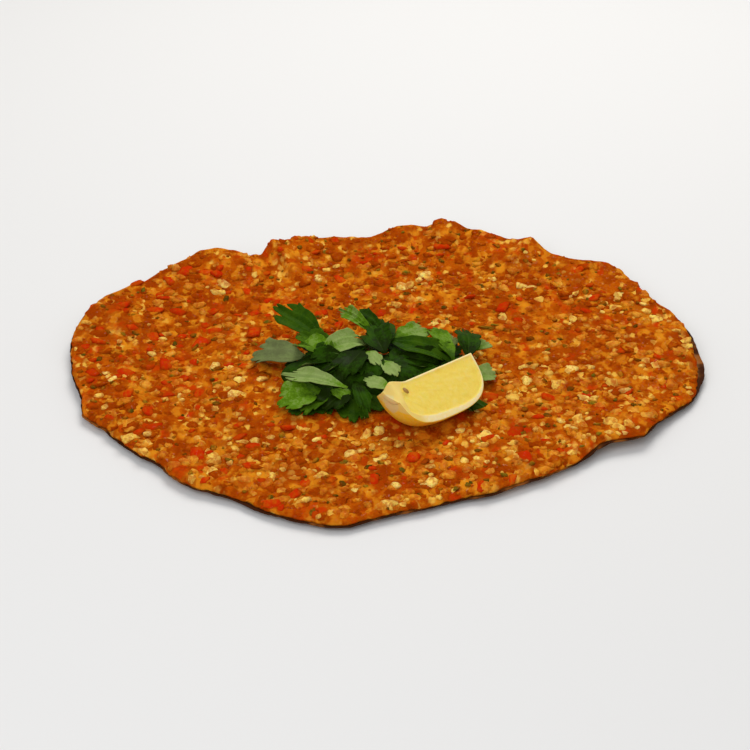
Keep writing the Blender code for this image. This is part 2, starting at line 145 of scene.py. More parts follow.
# Single leaflets on top of the heap: where the stalk's end is, where the tip is, width, all in
# millimetres, roll in degrees, and tone from 0, darkest, to 1, palest, and on to 2, a painted grey
# sheen of light. Tones near 0 paint shade onto leaves that lie deep in the heap.
LEAFLETS = [
    (-31, 3, 14, -55, 32, 19, 11.5, -20, 0.34),
    (-26, -14, 15, -41, 8, 16, 10, -15, 0.44),
    (-39, -6, 8.5, -67, -6, 6, 17, -5, 1.70),
    (-25, -18, 17, -43, -1, 14, 14, -10, 0.66),
    (-32, -15, 16, -9, -2, 16, 12, 15, 0.90),
    (-5, 3, 17, -22, 32, 18.5, 4.6, -30, 0.74),
    (0, 0, 17, -16, 30, 18, 8, -20, 0.20),
    (-1, -14, 17, -1, 18, 17, 13, 0, 0.22),
    (4, -3, 16, 22, 12, 15, 12, 20, 0.76),
    (34, -19, 14, 22, 12, 15.5, 8, 15, 0.64),
    (1, -5, 18, 35, -14, 12, 10, 20, 0.38),
    (41, -15, 13, 43, 12, 15, 11, 10, 0.20),
    (44, -26, 8, 55, -22, 7, 11, 10, 0.92),
    (-9, -19, 19, -2, -31, 17.5, 6, 10, 0.95),
    (-1, -27, 18.5, 6, -39, 16, 6.5, 10, 0.95),
    (-19, -22, 18, -37, -28, 13, 17, -20, 0.14),
    (-11, -18, 19, -21, -39, 13, 15, 0, 0.10),
    (-5, -21, 18, -8, -38, 13, 12, 0, 0.12),
    (-18, -48, 15, -51, -32, 13.5, 6.5, -15, 0.96),
    (-31, -41, 10, -52, -52, 7, 17, -10, 0.68),
    (-29, -43, 9, -39, -60, 6.5, 11, 0, 0.44),
    (-19, -43, 10, -29, -57, 7, 15, 0, 0.02),
    (-15, -37, 13, -7, -64, 7, 6.5, 0, 0.20),
    (0, -17, 17, -9, 7, 17, 14, 0, 0.14),
    (-42, -9, 8, -46, -17, 6.5, 10, 0, 0.05),
    (3, -46, 13, -11, -40, 14, 7, -10, 0.93),
    (-26, -45, 12, -17, -50, 9, 7, 0, 0.66),
    (4, -27, 15, -2, -42, 9, 12, 0, 0.12),
    (7, -14, 14, 27, -18, 9, 13, 15, 0.06),
    (17, -7, 12, 36, -12, 8, 13, 15, 0.08),
    (-24, -25, 14, -42, -11, 11, 16, -10, 0.18),
    (33, -13, 11, 34, 5, 11, 9, 0, 0.28),
    (31, -3, 13, 37, 5, 13, 6, 10, 0.92),
    (46, -1, 10, 53, 6, 10, 6, 10, 0.88),
    (41, -57, 7, 47, -45, 7, 9, 10, 0.36),
]

# The stage: half the floor's side, where the camera stands and what it looks at.
FLOOR_REACH = 6.0
CAMERA_PLACE = (-0.0048, -0.91946, 0.50501)
CAMERA_AIM = (-0.0048, -0.0084, 0.0)


# Settings that a user would change.


def length(name, description, default):
    return FloatProperty(name=name, description=description, default=default, unit="LENGTH",
                         precision=5)


def share(name, description, default):
    return FloatProperty(name=name, description=description, default=default, min=0.0, max=1.0,
                         subtype="FACTOR")


def colour(name, description, default):
    return FloatVectorProperty(name=name, description=description, default=default, size=3,
                               min=0.0, max=1.0, subtype="COLOR")


class BreadSettings(bpy.types.PropertyGroup):
    """Sizes and colours of the dough"""

    ragged: length("Ragged edge", "How far the torn edge cuts in from the rim", 0.9 * MM)
    blisters: length("Blisters", "Height of the blisters near the rim", 0.5 * MM)
    pale: colour("Pale dough", "Dough that took little heat", (0.66, 0.43, 0.20))
    toasted: colour("Toasted dough", "Browned dough", (0.27, 0.085, 0.014))
    charred: colour("Charred dough", "Burnt spots and edges", (0.046, 0.012, 0.003))


class ToppingSettings(bpy.types.PropertyGroup):
    """Sizes and colours of the mince and of what is in it"""

    layer: length("Layer", "Thickness of the mince between its lumps", 1.5 * MM)
    lump_size: length("Lump size", "Distance between the larger lumps", 6.5 * MM)
    lump_height: length("Lump height", "Height of the larger lumps", 0.8 * MM)
    brown: colour("Browned mince", "The darkest lumps", (0.31, 0.040, 0.0008))
    orange: colour("Oily mince", "The mass between the lumps", (0.46, 0.074, 0.0010))
    gold: colour("Golden patches", "Softened onion and fat, stained by the oil",
                 (0.70, 0.235, 0.010))
    onion: colour("Onion", "Onion that kept its own colour", (0.93, 0.62, 0.105))
    pepper: colour("Red pepper", "Diced pepper and tomato", (0.56, 0.022, 0.002))
    herb: colour("Herbs", "Chopped parsley in the mince", (0.105, 0.074, 0.006))


class ParsleySettings(bpy.types.PropertyGroup):
    """Sizes and colours of the parsley"""

    thickness: length("Leaf thickness", "Thickness of a leaf", 0.35 * MM)
    teeth: share("Teeth", "Depth of the teeth against a leaflet's length", 0.075)
    upper: colour("Upper side", "The leaf's upper side", (0.044, 0.100, 0.003))
    bright: colour("Young leaf", "Leaves with light through them", (0.105, 0.220, 0.006))
    under: colour("Underside", "The leaf's paler underside", (0.26, 0.35, 0.105))
    # This colour is painted reflection: the grey veil that light leaves on a glossy leaf, laid into
    # the colour of leaves whose tone is past 1.
    painted_sheen: colour("Painted sheen", "Grey sheen of light on a leaf, painted into its colour", (0.105, 0.118, 0.048))
    stalk: colour("Stalk", "Stalks and ribs", (0.12, 0.20, 0.03))


class LemonSettings(bpy.types.PropertyGroup):
    """Sizes and colours of the lemon wedge"""

    pith_thick: length("Pith", "Thickness of rind and pith on the cut face", 3.0 * MM)
    flesh: colour("Flesh", "The juicy flesh", (0.95, 0.71, 0.113))
    pith: colour("Pith", "The white pith", (0.93, 0.78, 0.43))
    zest: colour("Zest", "The yellow rind", (0.93, 0.57, 0.012))
    scar: colour("Stem scar", "The dry scar at the stem's end", (0.80, 0.63, 0.26))
    pip: colour("Pip", "The pip in the flesh", (0.48, 0.25, 0.04))


class StageSettings(bpy.types.PropertyGroup):
    """Floor, light and camera"""

    floor: colour("Floor", "Colour of the floor", (0.80, 0.80, 0.80))
    key: FloatProperty(name="Key light", description="Power of the light above and behind",
                       default=10.0, unit="POWER")
    fill: FloatProperty(name="Fill light", description="Power of the light in front",
                        default=8.3, unit="POWER")
    lens: FloatProperty(name="Lens", description="Focal length in millimetres", default=100.0)


class LahmacunSettings(bpy.types.PropertyGroup):
    """All the settings of the dish"""

    bread: PointerProperty(type=BreadSettings)
    topping: PointerProperty(type=ToppingSettings)
    parsley: PointerProperty(type=ParsleySettings)
    lemon: PointerProperty(type=LemonSettings)
    stage: PointerProperty(type=StageSettings)


def settings():
    return bpy.context.scene.lahmacun


# Shapes, worked out as whole arrays.


def ease(values, start=0.0, end=1.0):
    """0 before start, 1 after end, and 3s^2 - 2s^3 of the share s between them."""
    s = np.clip((values - start) / (end - start), 0, 1)
    return s * s * (3 - 2 * s)


def waves(x, y, size, seed):
    """Smooth noise from -1 to 1: random heights on a square lattice, eased between its corners."""
    table = np.random.default_rng(seed).uniform(-1, 1, (TILE, TILE))
    u, v = x / size, y / size
    i, j = np.floor(u).astype(int), np.floor(v).astype(int)
    s, t = ease(u - i), ease(v - j)
    low, high = (table[i % TILE, k % TILE] * (1 - s) + table[(i + 1) % TILE, k % TILE] * s
                 for k in (j, j + 1))
    return low * (1 - t) + high * t


def cells(x, y, size, seed):
    """Distance to the nearest of one random point in each square of a lattice, the gap to the
    second nearest, both as shares of the square's side, and a random number of the nearest."""
    table = np.random.default_rng(seed).random((TILE, TILE, 3))
    u, v = x / size, y / size
    i, j = np.floor(u).astype(int), np.floor(v).astype(int)
    near, second, value = np.full(u.shape, 9.0), np.full(u.shape, 9.0), np.zeros(u.shape)
    for di in (-1, 0, 1):
        for dj in (-1, 0, 1):
            cell = table[(i + di) % TILE, (j + dj) % TILE]
            away = np.hypot(i + di + cell[..., 0] - u, j + dj + cell[..., 1] - v)
            closer = away < near
            second = np.where(closer, near, np.minimum(second, away))
            near = np.where(closer, away, near)
            value = np.where(closer, cell[..., 2], value)
    return near, second - near, value


def rim_of_solid():
    """Bearing, reach, height and extra bare width of the rim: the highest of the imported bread's
    outermost corners at each step of bearing, and a hump exp(-(gap / width)^2) for each tear."""
    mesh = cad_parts["flatbread"].data
    corners = np.empty(len(mesh.vertices) * 3)
    mesh.vertices.foreach_get("co", corners)
    corners = corners.reshape(-1, 3)
    distance = np.hypot(corners[:, 0], corners[:, 1])
    turn = np.arctan2(corners[:, 1], corners[:, 0]) % (2 * math.pi)
    step = np.round(turn / (2 * math.pi) * RIM_STEPS).astype(int) % RIM_STEPS
    rows = []
    for k in range(RIM_STEPS):
        here = np.flatnonzero(step == k)
        outer = here[distance[here] > distance[here].max() - RIM_BAND]
        top = outer[corners[outer, 2].argmax()]
        rows.append((2 * math.pi * k / RIM_STEPS, distance[top], corners[top, 2]))
    bearings, reach, height = np.array(rows).T
    bare = np.zeros(RIM_STEPS)
    for at, width, lift, more, uncovered in RIM_TEARS:
        gap = (np.degrees(bearings) - at + 180) % 360 - 180
        hump = MM * np.exp(-((gap / width) ** 2))
        reach, height = reach + more * hump, height + lift * hump
        bare = bare + uncovered * hump
    return bearings, reach, height, bare


RIM = rim_of_solid()


def rim_at(turn, row):
    """The rim's REACH, HEIGHT or BARE width at any bearing."""
    return np.interp(turn, RIM[0], RIM[row], period=2 * math.pi)


def on_rim(turn):
    """The rim's points at those bearings."""
    return rim_at(turn, REACH) * np.cos(turn), rim_at(turn, REACH) * np.sin(turn)


def to_spread(x, y):
    """Distance from the edge of the stretch that may be spread, measured towards the middle."""
    turn = np.arctan2(y, x)
    return rim_at(turn, REACH) - np.hypot(x, y) - rim_at(turn, BARE)


def dough_top(x, y):
    """Height of the dough: level in the middle, curled up to the rim's own height, with
    blisters where it curls."""
    turn = np.arctan2(y, x)
    out = np.hypot(x, y) / rim_at(turn, REACH)
    rise = rim_at(turn, HEIGHT) - DOUGH_THICK
    blister = np.clip(waves(x, y, 8 * MM, 41) + 0.3 * waves(x, y, 3.1 * MM, 42), -0.4, 1)
    height = (settings().bread.blisters * blister * ease(out, 0.85, 0.97)
              * (1 - ease(out, 0.985, 1)))
    return DOUGH_THICK + rise * ease(out, LIFT_STARTS, 1.0) + height


def in_lemon_frame(x, y):
    """Distance along the lemon's core line and across it, +across being the parsley's side."""
    dx, dy = x - LEMON_CORE[0], y - LEMON_CORE[1]
    c, s = LEMON_AHEAD
    return dx * c + dy * s, dy * c - dx * s


def from_lemon_frame(along, across):
    """The point at those distances along the lemon's core line and across it."""
    c, s = LEMON_AHEAD
    return LEMON_CORE[0] + along * c - across * s, LEMON_CORE[1] + along * s + across * c


def lemon_reach(along):
    """Radius of the lemon along its core line: R (1 - |a/H|^2.9)^0.30, and a low round nub
    at the stem's end."""
    power, root = LEMON_ROUNDING
    body = LEMON_RADIUS * np.clip(1 - np.abs(along / LEMON_HALF_LENGTH) ** power, 0, 1) ** root
    past_end = np.clip(-along - LEMON_HALF_LENGTH, 0, None) / LEMON_NUB[1]
    nub = LEMON_NUB[0] * np.sqrt(np.clip(1 - past_end ** 2, 0, 1))
    return np.where(along < 0, np.maximum(body, nub), body)


def under_lemon(x, y):
    """Height of the rind over a point, or NOTHING_OVER."""
    along, across = in_lemon_frame(x, y)
    radius = lemon_reach(along)
    covered = np.abs(across) < radius * math.sin(LEMON_HALF_WEDGE)
    depth = np.sqrt(np.clip(radius ** 2 - across ** 2, 0, None))
    return np.where(covered, LEMON_CORE[2] - depth, NOTHING_OVER)


def under_core(x, y):
    """Height of the heap's flat base over a point, or NOTHING_OVER."""
    across = (x - CORE_PLACE[0]) / (CORE_RADII[0] + 2 * MM)
    along = (y - CORE_PLACE[1]) / (CORE_RADII[1] + 2 * MM)
    return np.where(across ** 2 + along ** 2 < 1, CORE_BASE, NOTHING_OVER)


def in_heap(x, y):
    """How far inside the garnish's outline a point is: 1 in its middle, 0 at its edge."""
    return 1 - np.hypot((x - HEAP_PLACE[0]) / HEAP_RADII[0], (y - HEAP_PLACE[1]) / HEAP_RADII[1])


def mince_domes(x, y):
    """Domes of two sizes round random points of bent lattices, from 0 to about 1."""
    bent_x = x + 1.3 * MM * waves(x, y, 5 * MM, 3)
    bent_y = y + 1.3 * MM * waves(x, y, 5 * MM, 4)
    domes = []
    for size, seed, least in ((1.0, 7, 0.25), (0.45, 8, 0.3)):
        near, _, value = cells(bent_x, bent_y, size * settings().topping.lump_size, seed)
        dome = np.sqrt(np.clip(1 - (near / 0.85) ** 2, 0, 1))
        domes.append(dome * (least + (1 - least) * value))
    return (domes[0] + 0.3 * domes[1]) / 1.3


def mince_top(x, y):
    """Height of the mince: dough, a layer that swells and thins, domes on it, a feathered edge,
    and level where the garnish presses on it."""
    topping = settings().topping
    body = topping.layer * (1 + 0.22 * waves(x, y, 17 * MM, 5))
    body = body + 1.3 * topping.lump_height * mince_domes(x, y)
    edge = ease(to_spread(x, y), 0.5 * MM, 4.0 * MM)
    height = dough_top(x, y) + GAP + body * (0.35 + 0.65 * edge)
    ceiling = np.minimum(under_lemon(x, y), under_core(x, y)) - 0.1 * MM
    return np.minimum(height, ceiling)


def quads_of(rows, columns, closed=False):
    """The quads between neighbours of a grid; closed joins the last column to the first."""
    i, j = np.meshgrid(np.arange(rows - 1), np.arange(columns - (not closed)), indexing="ij")
    k = (j + 1) % columns
    return np.stack([i * columns + j, i * columns + k, (i + 1) * columns + k,
                     (i + 1) * columns + j], -1).reshape(-1, 4)


def fan_of(pole, ring, flip=False):
    """Triangles from one point to each neighbouring pair of a closed ring."""
    following = np.roll(ring, -1)
    pair = (following, ring) if flip else (ring, following)
    return np.stack([np.full(len(ring), pole), *pair], -1)


def closed_rings(rings, poles, reverse=False):
    """The points of a grid of rings and of a pole at each end, and the faces that close it."""
    rows, columns = rings.shape[:2]
    last = rows * columns
    sides = quads_of(rows, columns, closed=True)
    caps = [fan_of(last, np.arange(columns), flip=not reverse),
            fan_of(last + 1, np.arange(last - columns, last), flip=reverse)]
    return (np.concatenate([rings.reshape(-1, 3), poles]),
            [sides[:, ::-1] if reverse else sides, np.concatenate(caps)])


def add_piece(name, points, faces, finishes, slot, replaces=(), **values):
    """A smooth mesh of points and arrays of faces. Each value is kept as a point attribute."""
    mesh = bpy.data.meshes.new(name)
    corners = np.concatenate([f.ravel() for f in faces])
    sizes = np.concatenate([np.full(len(f), f.shape[1]) for f in faces])
    starts = np.concatenate([[0], np.cumsum(sizes)[:-1]])
    mesh.vertices.add(len(points))
    mesh.vertices.foreach_set("co", np.ascontiguousarray(points, np.float32).ravel())
    mesh.loops.add(len(corners))
    mesh.loops.foreach_set("vertex_index", corners.astype(np.int32))
    mesh.polygons.add(len(sizes))
    mesh.polygons.foreach_set("loop_start", starts.astype(np.int32))
    mesh.update(calc_edges=True)
    if mesh.validate():
        raise ValueError(f"{name} has faces that aren't valid")
    mesh.shade_smooth()
    for key, array in values.items():
        kept = mesh.attributes.new(key, "FLOAT", "POINT")
        kept.data.foreach_set("value", np.ascontiguousarray(array, np.float32).ravel())
    for finish in finishes:
        mesh.materials.append(finish)
    made = bpy.data.objects.new(name, mesh)
    bpy.context.scene.collection.objects.link(made)
    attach(made, "root")
    if replaces:
        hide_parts(*replaces)
    return made


def disc_grid(count):
    """A square grid pressed into a disc of radius 1: x = u sqrt(1 - v^2/2) and
    y = v sqrt(1 - u^2/2)."""
    side = np.linspace(-1, 1, count)
    u, v = np.meshgrid(side, side, indexing="ij")
    return u * np.sqrt(1 - v * v / 2), v * np.sqrt(1 - u * u / 2)


def border_of(count):
    """The places of a square grid's outer points, once round and anticlockwise."""
    index = np.arange(count * count).reshape(count, count)
    return np.concatenate([index[:-1, 0], index[-1, :-1], index[:0:-1, -1], index[0, :0:-1]])


def round_lump(around, rings):
    """A unit ball of that many sides and rings with a pole at each end, and its faces."""
    rise = np.pi * (np.arange(rings) + 1) / (rings + 1)
    turn = 2 * np.pi * np.arange(around) / around
    x, y = np.sin(rise)[:, None] * np.cos(turn), np.sin(rise)[:, None] * np.sin(turn)
    ball = np.stack([x, y, np.cos(rise)[:, None] + 0 * turn], -1)
    return closed_rings(ball, [[0, 0, 1], [0, 0, -1]], reverse=True)


def turned(a, b, c):
    """The matrix that turns about X by c, then about Y by b, then about Z by a."""
    (ca, cb, cc), (sa, sb, sc) = np.cos([a, b, c]), np.sin([a, b, c])
    return np.array([[ca * cb, ca * sb * sc - sa * cc, ca * sb * cc + sa * sc],
                     [sa * cb, sa * sb * sc + ca * cc, sa * sb * cc - ca * sc],
                     [-sb, cb * sc, cb * cc]])


def turns_of(count, draw, tilt):
    """Random turns: any bearing, after a tilt of up to that many radians about two axes."""
    a = draw.uniform(0, 2 * np.pi, count)
    b, c = draw.normal(0, tilt / 2, count), draw.normal(0, tilt / 2, count)
    return np.moveaxis(turned(a, b, c), 2, 0)


def strewn_points(spacing, draw, margin, cover, clumping, clump_size, lean, seed):
    """Random points in offset rows inside the rim, thinned out where smooth noise is low, and
    away from the side that they lean to."""
    rows = int(WIDEST / spacing) + 1
    i, j = np.mgrid[-rows:rows + 1, -rows:rows + 1]
    x = (j + 0.5 * (i % 2)) * spacing + draw.uniform(-0.5, 0.5, i.shape) * spacing
    y = i * spacing * 0.87 + draw.uniform(-0.5, 0.5, i.shape) * spacing
    x, y = x.ravel(), y.ravel()
    chance = cover + clumping * waves(x, y, clump_size, seed)
    chance = chance + (lean[0] * x + lean[1] * y) / HALF_WAY
    keep = (to_spread(x, y) > margin) & (draw.random(len(x)) < chance)
    return x[keep], y[keep]


def strew(name, finish, slot, seed, spacing, least, most, shape, margin, cover=0.75,
          clumping=0.4, clump_size=22, unevenness=0.22, ragged=0.10, boxy=0.0, sink=0.4,
          tilt=0.5, in_garnish=0.35, lean=(0.0, 0.0)):
    """Pieces strewn over the mince, each at its own size and turn, sunk into what it lies on.
    Lengths are in millimetres, and least and most are the half length, width and height. The
    unit shape is drawn out towards a block by the power boxy of its largest coordinate. It
    swells and dips in slow waves with random phases, and each corner moves in or out at random
    by the ragged share."""
    draw = np.random.default_rng(seed)
    x, y = strewn_points(spacing * MM, draw, margin * MM, cover, clumping, clump_size * MM, lean,
                         seed)
    inside = (in_heap(x, y) > 0) & (draw.random(len(x)) > in_garnish)
    pressed = (under_lemon(x, y) < RIND_LOW) | (under_core(x, y) < NOTHING_OVER)
    keep = ~(inside | pressed)
    x, y = x[keep], y[keep]
    count = len(x)
    points, faces = shape
    points = points / np.abs(points).max(1, keepdims=True) ** boxy
    low, high = np.array([least, most]) * MM
    scale = low + (high - low) * draw.random((count, 1)) ** 1.6 * draw.uniform(0.75, 1, (count, 3))
    phase = draw.uniform(0, 2 * np.pi, (count, 1, 3))
    swell = (np.sin(2.6 * points[None, :, [1, 2, 0]] + phase).sum(-1)
             + 0.6 * np.sin(4.7 * points[None, :, [2, 0, 1]] + 2 * phase).sum(-1)) / 3
    swell = swell + ragged / unevenness * draw.uniform(-1, 1, swell.shape)
    shaped = points[None] * (1 + unevenness * swell)[..., None] * scale[:, None, :]
    base = mince_top(x, y) + (1 - 2 * sink) * scale[:, 2]
    placed = np.einsum("nij,nvj->nvi", turns_of(count, draw, tilt), shaped)
    placed = placed + np.stack([x, y, base], -1)[:, None, :]
    over = np.clip(MARGIN - to_spread(placed[..., 0], placed[..., 1]), 0, None)
    distance = np.hypot(placed[..., 0], placed[..., 1])
    placed[..., :2] *= ((distance - over) / distance)[..., None]
    floor = dough_top(placed[..., 0], placed[..., 1]) + 0.1 * MM
    placed[..., 2] = np.maximum(placed[..., 2], floor)
    shift = (np.arange(count) * len(points))[:, None, None]
    all_faces = [(f[None] + shift).reshape(-1, f.shape[1]) for f in faces]
    tone = np.repeat(draw.random(count), len(points))
    return add_piece(name, placed.reshape(-1, 3), all_faces, [finish], slot, tone=tone)


# Materials.


class Wiring:
    """Adds nodes to one node tree. An input is given a value or another node's output."""

    def __init__(self, tree):
        self.tree = tree
        tree.nodes.clear()

    def add(self, kind, inputs=None, output=0, **details):
        node = self.tree.nodes.new(kind)
        for key, value in details.items():
            setattr(node, key, value)
        for key, value in (inputs or {}).items():
            if isinstance(value, bpy.types.NodeSocket):
                self.tree.links.new(value, node.inputs[key])
            else:
                node.inputs[key].default_value = value
        return node.outputs[output] if node.outputs else node

    def where(self):
        return self.add("ShaderNodeTexCoord", output="Object")

    def smeared(self):
        """Object coordinates for patches that were smeared along Y, the way of the spreading."""
        return self.add("ShaderNodeVectorMath", {0: self.where(), 1: (1.0, 0.62, 1.0)},
                        operation="MULTIPLY")

    def noise(self, where, size, detail=2.0, rough=0.5, output=0):
        return self.add("ShaderNodeTexNoise", {"Vector": where, "Scale": 1 / size,
                                               "Detail": detail, "Roughness": rough}, output)

    def spots(self, where, size, output="Distance"):
        return self.add("ShaderNodeTexVoronoi", {"Vector": where, "Scale": 1 / size}, output)

    def math(self, operation, *values, clamp=False):
        return self.add("ShaderNodeMath", dict(enumerate(values)), operation=operation,
                        use_clamp=clamp)

    def spread(self, value, low, high, to_low=0.0, to_high=1.0):
        return self.add("ShaderNodeMapRange", {"Value": value, "From Min": low, "From Max": high,
                                               "To Min": to_low, "To Max": to_high},
                        interpolation_type="SMOOTHSTEP")

    def blend(self, share, first, second):
        return self.add("ShaderNodeMix", {"Factor": share, 6: full(first), 7: full(second)},
                        output=2, data_type="RGBA")

    def ramp(self, value, stops):
        """Colours at their places from 0 to 1, mixed in between."""
        out = self.add("ShaderNodeValToRGB", {"Fac": value})
        ramp = out.node.color_ramp
        for index, (place, shown) in enumerate(stops):
            stop = ramp.elements[index] if index < 2 else ramp.elements.new(place)
            stop.position = place
            stop.color = full(shown)
        return out

    def kept(self, name):
        """A point attribute of the piece."""
        return self.add("ShaderNodeAttribute", output="Fac", attribute_name=name)


def full(shown):
    """A colour with its alpha, or a socket as it is."""
    return shown if isinstance(shown, bpy.types.NodeSocket) else (*tuple(shown)[:3], 1.0)


def mixed(first, second, part):
    """A plain colour between two others."""
    return tuple(a + (b - a) * part for a, b in zip(tuple(first), tuple(second)))


def group_of(name, inputs, outputs, work_out):
    """The shader node group of that name. Its named inputs and outputs are numbers, colours or
    vectors, and work_out gives the outputs when it is first asked for."""
    if name in bpy.data.node_groups:
        return bpy.data.node_groups[name]
    kinds = {1: "NodeSocketFloat", 4: "NodeSocketColor", 3: "NodeSocketVector"}
    group = bpy.data.node_groups.new(name, "ShaderNodeTree")
    wires = Wiring(group)
    for side, sockets in (("INPUT", inputs), ("OUTPUT", outputs)):
        for key, value in sockets.items():
            socket = group.interface.new_socket(key, in_out=side,
                                                socket_type=kinds[np.size(value)])
            socket.default_value = value
    given = group.nodes.new("NodeGroupInput").outputs
    out = group.nodes.new("NodeGroupOutput")
    for key, socket in work_out(wires, given).items():
        group.links.new(socket, out.inputs[key])
    return group


def food_grain(wires, given):
    """Uneven grain of a coarse and a fine size: a mottle from 0 to 1, and a dented normal."""
    where = wires.where()
    coarse = wires.add("ShaderNodeTexNoise", {"Vector": where, "Scale": given["Coarse"],
                                              "Detail": 3.0, "Roughness": 0.6})
    fine = wires.add("ShaderNodeTexNoise", {"Vector": where, "Scale": given["Fine"],
                                            "Detail": 2.0})
    both = wires.math("ADD", wires.math("MULTIPLY", coarse, 0.65),
                      wires.math("MULTIPLY", fine, 0.35))
    dents = wires.add("ShaderNodeBump", {"Strength": 1.0, "Distance": given["Depth"],
                                         "Height": both})
    return {"Mottle": wires.spread(both, 0.32, 0.68), "Normal": dents}


def oily_sauce(wires, given):
    """It stains part of a bit, and the whole spread lies in patches that browned or reddened
    more or stayed golden."""
    topping = settings().topping
    where = wires.smeared()
    soaked = wires.spread(wires.noise(where, 2.3 * MM, 3.0, 0.6), 0.44, 0.60, 0.0, given["Stain"])
    shown = wires.blend(soaked, given["Bit"], given["Sauce"])
    low_end, high_end = (given["Patches"], 0.0), (0.0, given["Patches"])
    reddened = mixed(topping.pepper, topping.orange, 0.35)
    for size, detail, rough, low, high, ends, laid in (
            (15, 3.0, 0.55, 0.36, 0.49, low_end, topping.brown),
            (9, 3.0, 0.55, 0.56, 0.66, high_end, topping.gold),
            (11, 3.0, 0.55, 0.57, 0.66, high_end, reddened),
            (6, 2.0, 0.5, 0.39, 0.49, low_end, topping.brown),
            (6, 2.0, 0.5, 0.58, 0.65, high_end, topping.gold)):
        patches = wires.spread(wires.noise(where, size * MM, detail, rough), low, high, *ends)
        shown = wires.blend(patches, shown, laid)
    return {"Colour": shown}


def sauced(wires, bit, sauce, stain, patches):
    """The colour of a bit under the sauce."""
    topping = settings().topping
    group = group_of("oily sauce", {"Bit": full(topping.gold), "Sauce": full(topping.orange),
                                    "Stain": 0.5, "Patches": 0.4},
                     {"Colour": full(topping.orange)}, oily_sauce)
    return wires.add("ShaderNodeGroup", {"Bit": bit, "Sauce": sauce, "Stain": stain,
                                         "Patches": patches}, node_tree=group)


def start_finish(name, coarse, fine, depth):
    """A new material's wiring, and the mottle and the normal of a grain of those sizes."""
    made = bpy.data.materials.new(name)
    made.use_nodes = True
    wires = Wiring(made.node_tree)
    wires.made = made
    group = group_of("food grain", {"Coarse": 250.0, "Fine": 900.0, "Depth": 0.0002},
                     {"Mottle": 0.0, "Normal": (0.0, 0.0, 0.0)}, food_grain)
    mottle = wires.add("ShaderNodeGroup", {"Coarse": 1 / coarse, "Fine": 1 / fine,
                                           "Depth": depth}, node_tree=group)
    return wires, mottle, mottle.node.outputs["Normal"]


def end_finish(wires, base, mottle, rough, normal, **constants):
    """The material, with its shader. The mottle chooses the roughness between two values, and
    constants are set on the shader's own sockets."""
    inputs = {"Base Color": full(base), "Roughness": wires.spread(mottle, 0, 1, *rough),
              "Normal": normal}
    inputs.update({key.replace("_", " "): value for key, value in constants.items()})
    shader = wires.add("ShaderNodeBsdfPrincipled", inputs)
    wires.add("ShaderNodeOutputMaterial", {"Surface": shader})
    return wires.made


def bit_finish(name, stops, rough, mottling=0.5, stain=0.5, patches=0.3, glints=0.3,
               **constants):
    """The finish of a strewn piece: its own tone and a mottle choose a colour of the ramp, and
    the oily sauce stains part of it."""
    wires, mottle, normal = start_finish(name, 1.6 * MM, 0.5 * MM, 0.25 * MM)
    tone = wires.math("ADD", wires.math("MULTIPLY", wires.kept("tone"), 1 - mottling),
                      wires.math("MULTIPLY", mottle, mottling))
    topping = settings().topping
    sauce = wires.blend(wires.kept("tone"), mixed(topping.orange, topping.brown, 0.3),
                        mixed(topping.orange, topping.gold, 0.3))
    base = sauced(wires, wires.ramp(tone, stops), sauce, stain, patches)
    oil = wires.spread(wires.noise(wires.where(), 1.1 * MM, 1.0), 0.63, 0.73, 0.0, glints)
    return end_finish(wires, base, mottle, rough, normal, Coat_Weight=oil, Coat_Roughness=0.2,
                      **constants)


def dough_finish():
    """Baked dough: pale where it is thick and sheltered, toasted in patches, charred at its
    edge, and floury below."""
    bread = settings().bread
    wires, mottle, normal = start_finish("baked dough", 6 * MM, 1.2 * MM, 0.5 * MM)
    where, edge = wires.where(), wires.kept("edge")
    patches = wires.spread(wires.noise(where, 17 * MM, 4.0, 0.6), 0.42, 0.62)
    toast = wires.math("MAXIMUM", wires.math("MULTIPLY", patches, 0.75), edge)
    base = wires.blend(toast, mixed(bread.pale, bread.toasted, 0.1), bread.toasted)
    spots = wires.spread(wires.noise(where, 7 * MM, 3.0, 0.65), 0.60, 0.70)
    burnt = wires.spread(wires.noise(where, 15 * MM, 3.0, 0.6), 0.36, 0.52)
    char = wires.math("ADD", wires.math("MULTIPLY", burnt, edge),
                      wires.math("MULTIPLY", spots, 0.6), clamp=True)
    base = wires.blend(char, base, bread.charred)
    flour = wires.math("MULTIPLY", wires.kept("under"), wires.spread(mottle, 0.45, 0.9, 0, 0.5))
    flour = wires.math("MULTIPLY", flour, wires.spread(edge, 0.0, 0.3, 1.0, 0.0))
    base = wires.blend(flour, base, mixed(bread.pale, (0.85, 0.80, 0.70), 0.7))
    return end_finish(wires, base, mottle, (0.9, 0.7), normal, Specular_IOR_Level=0.05)


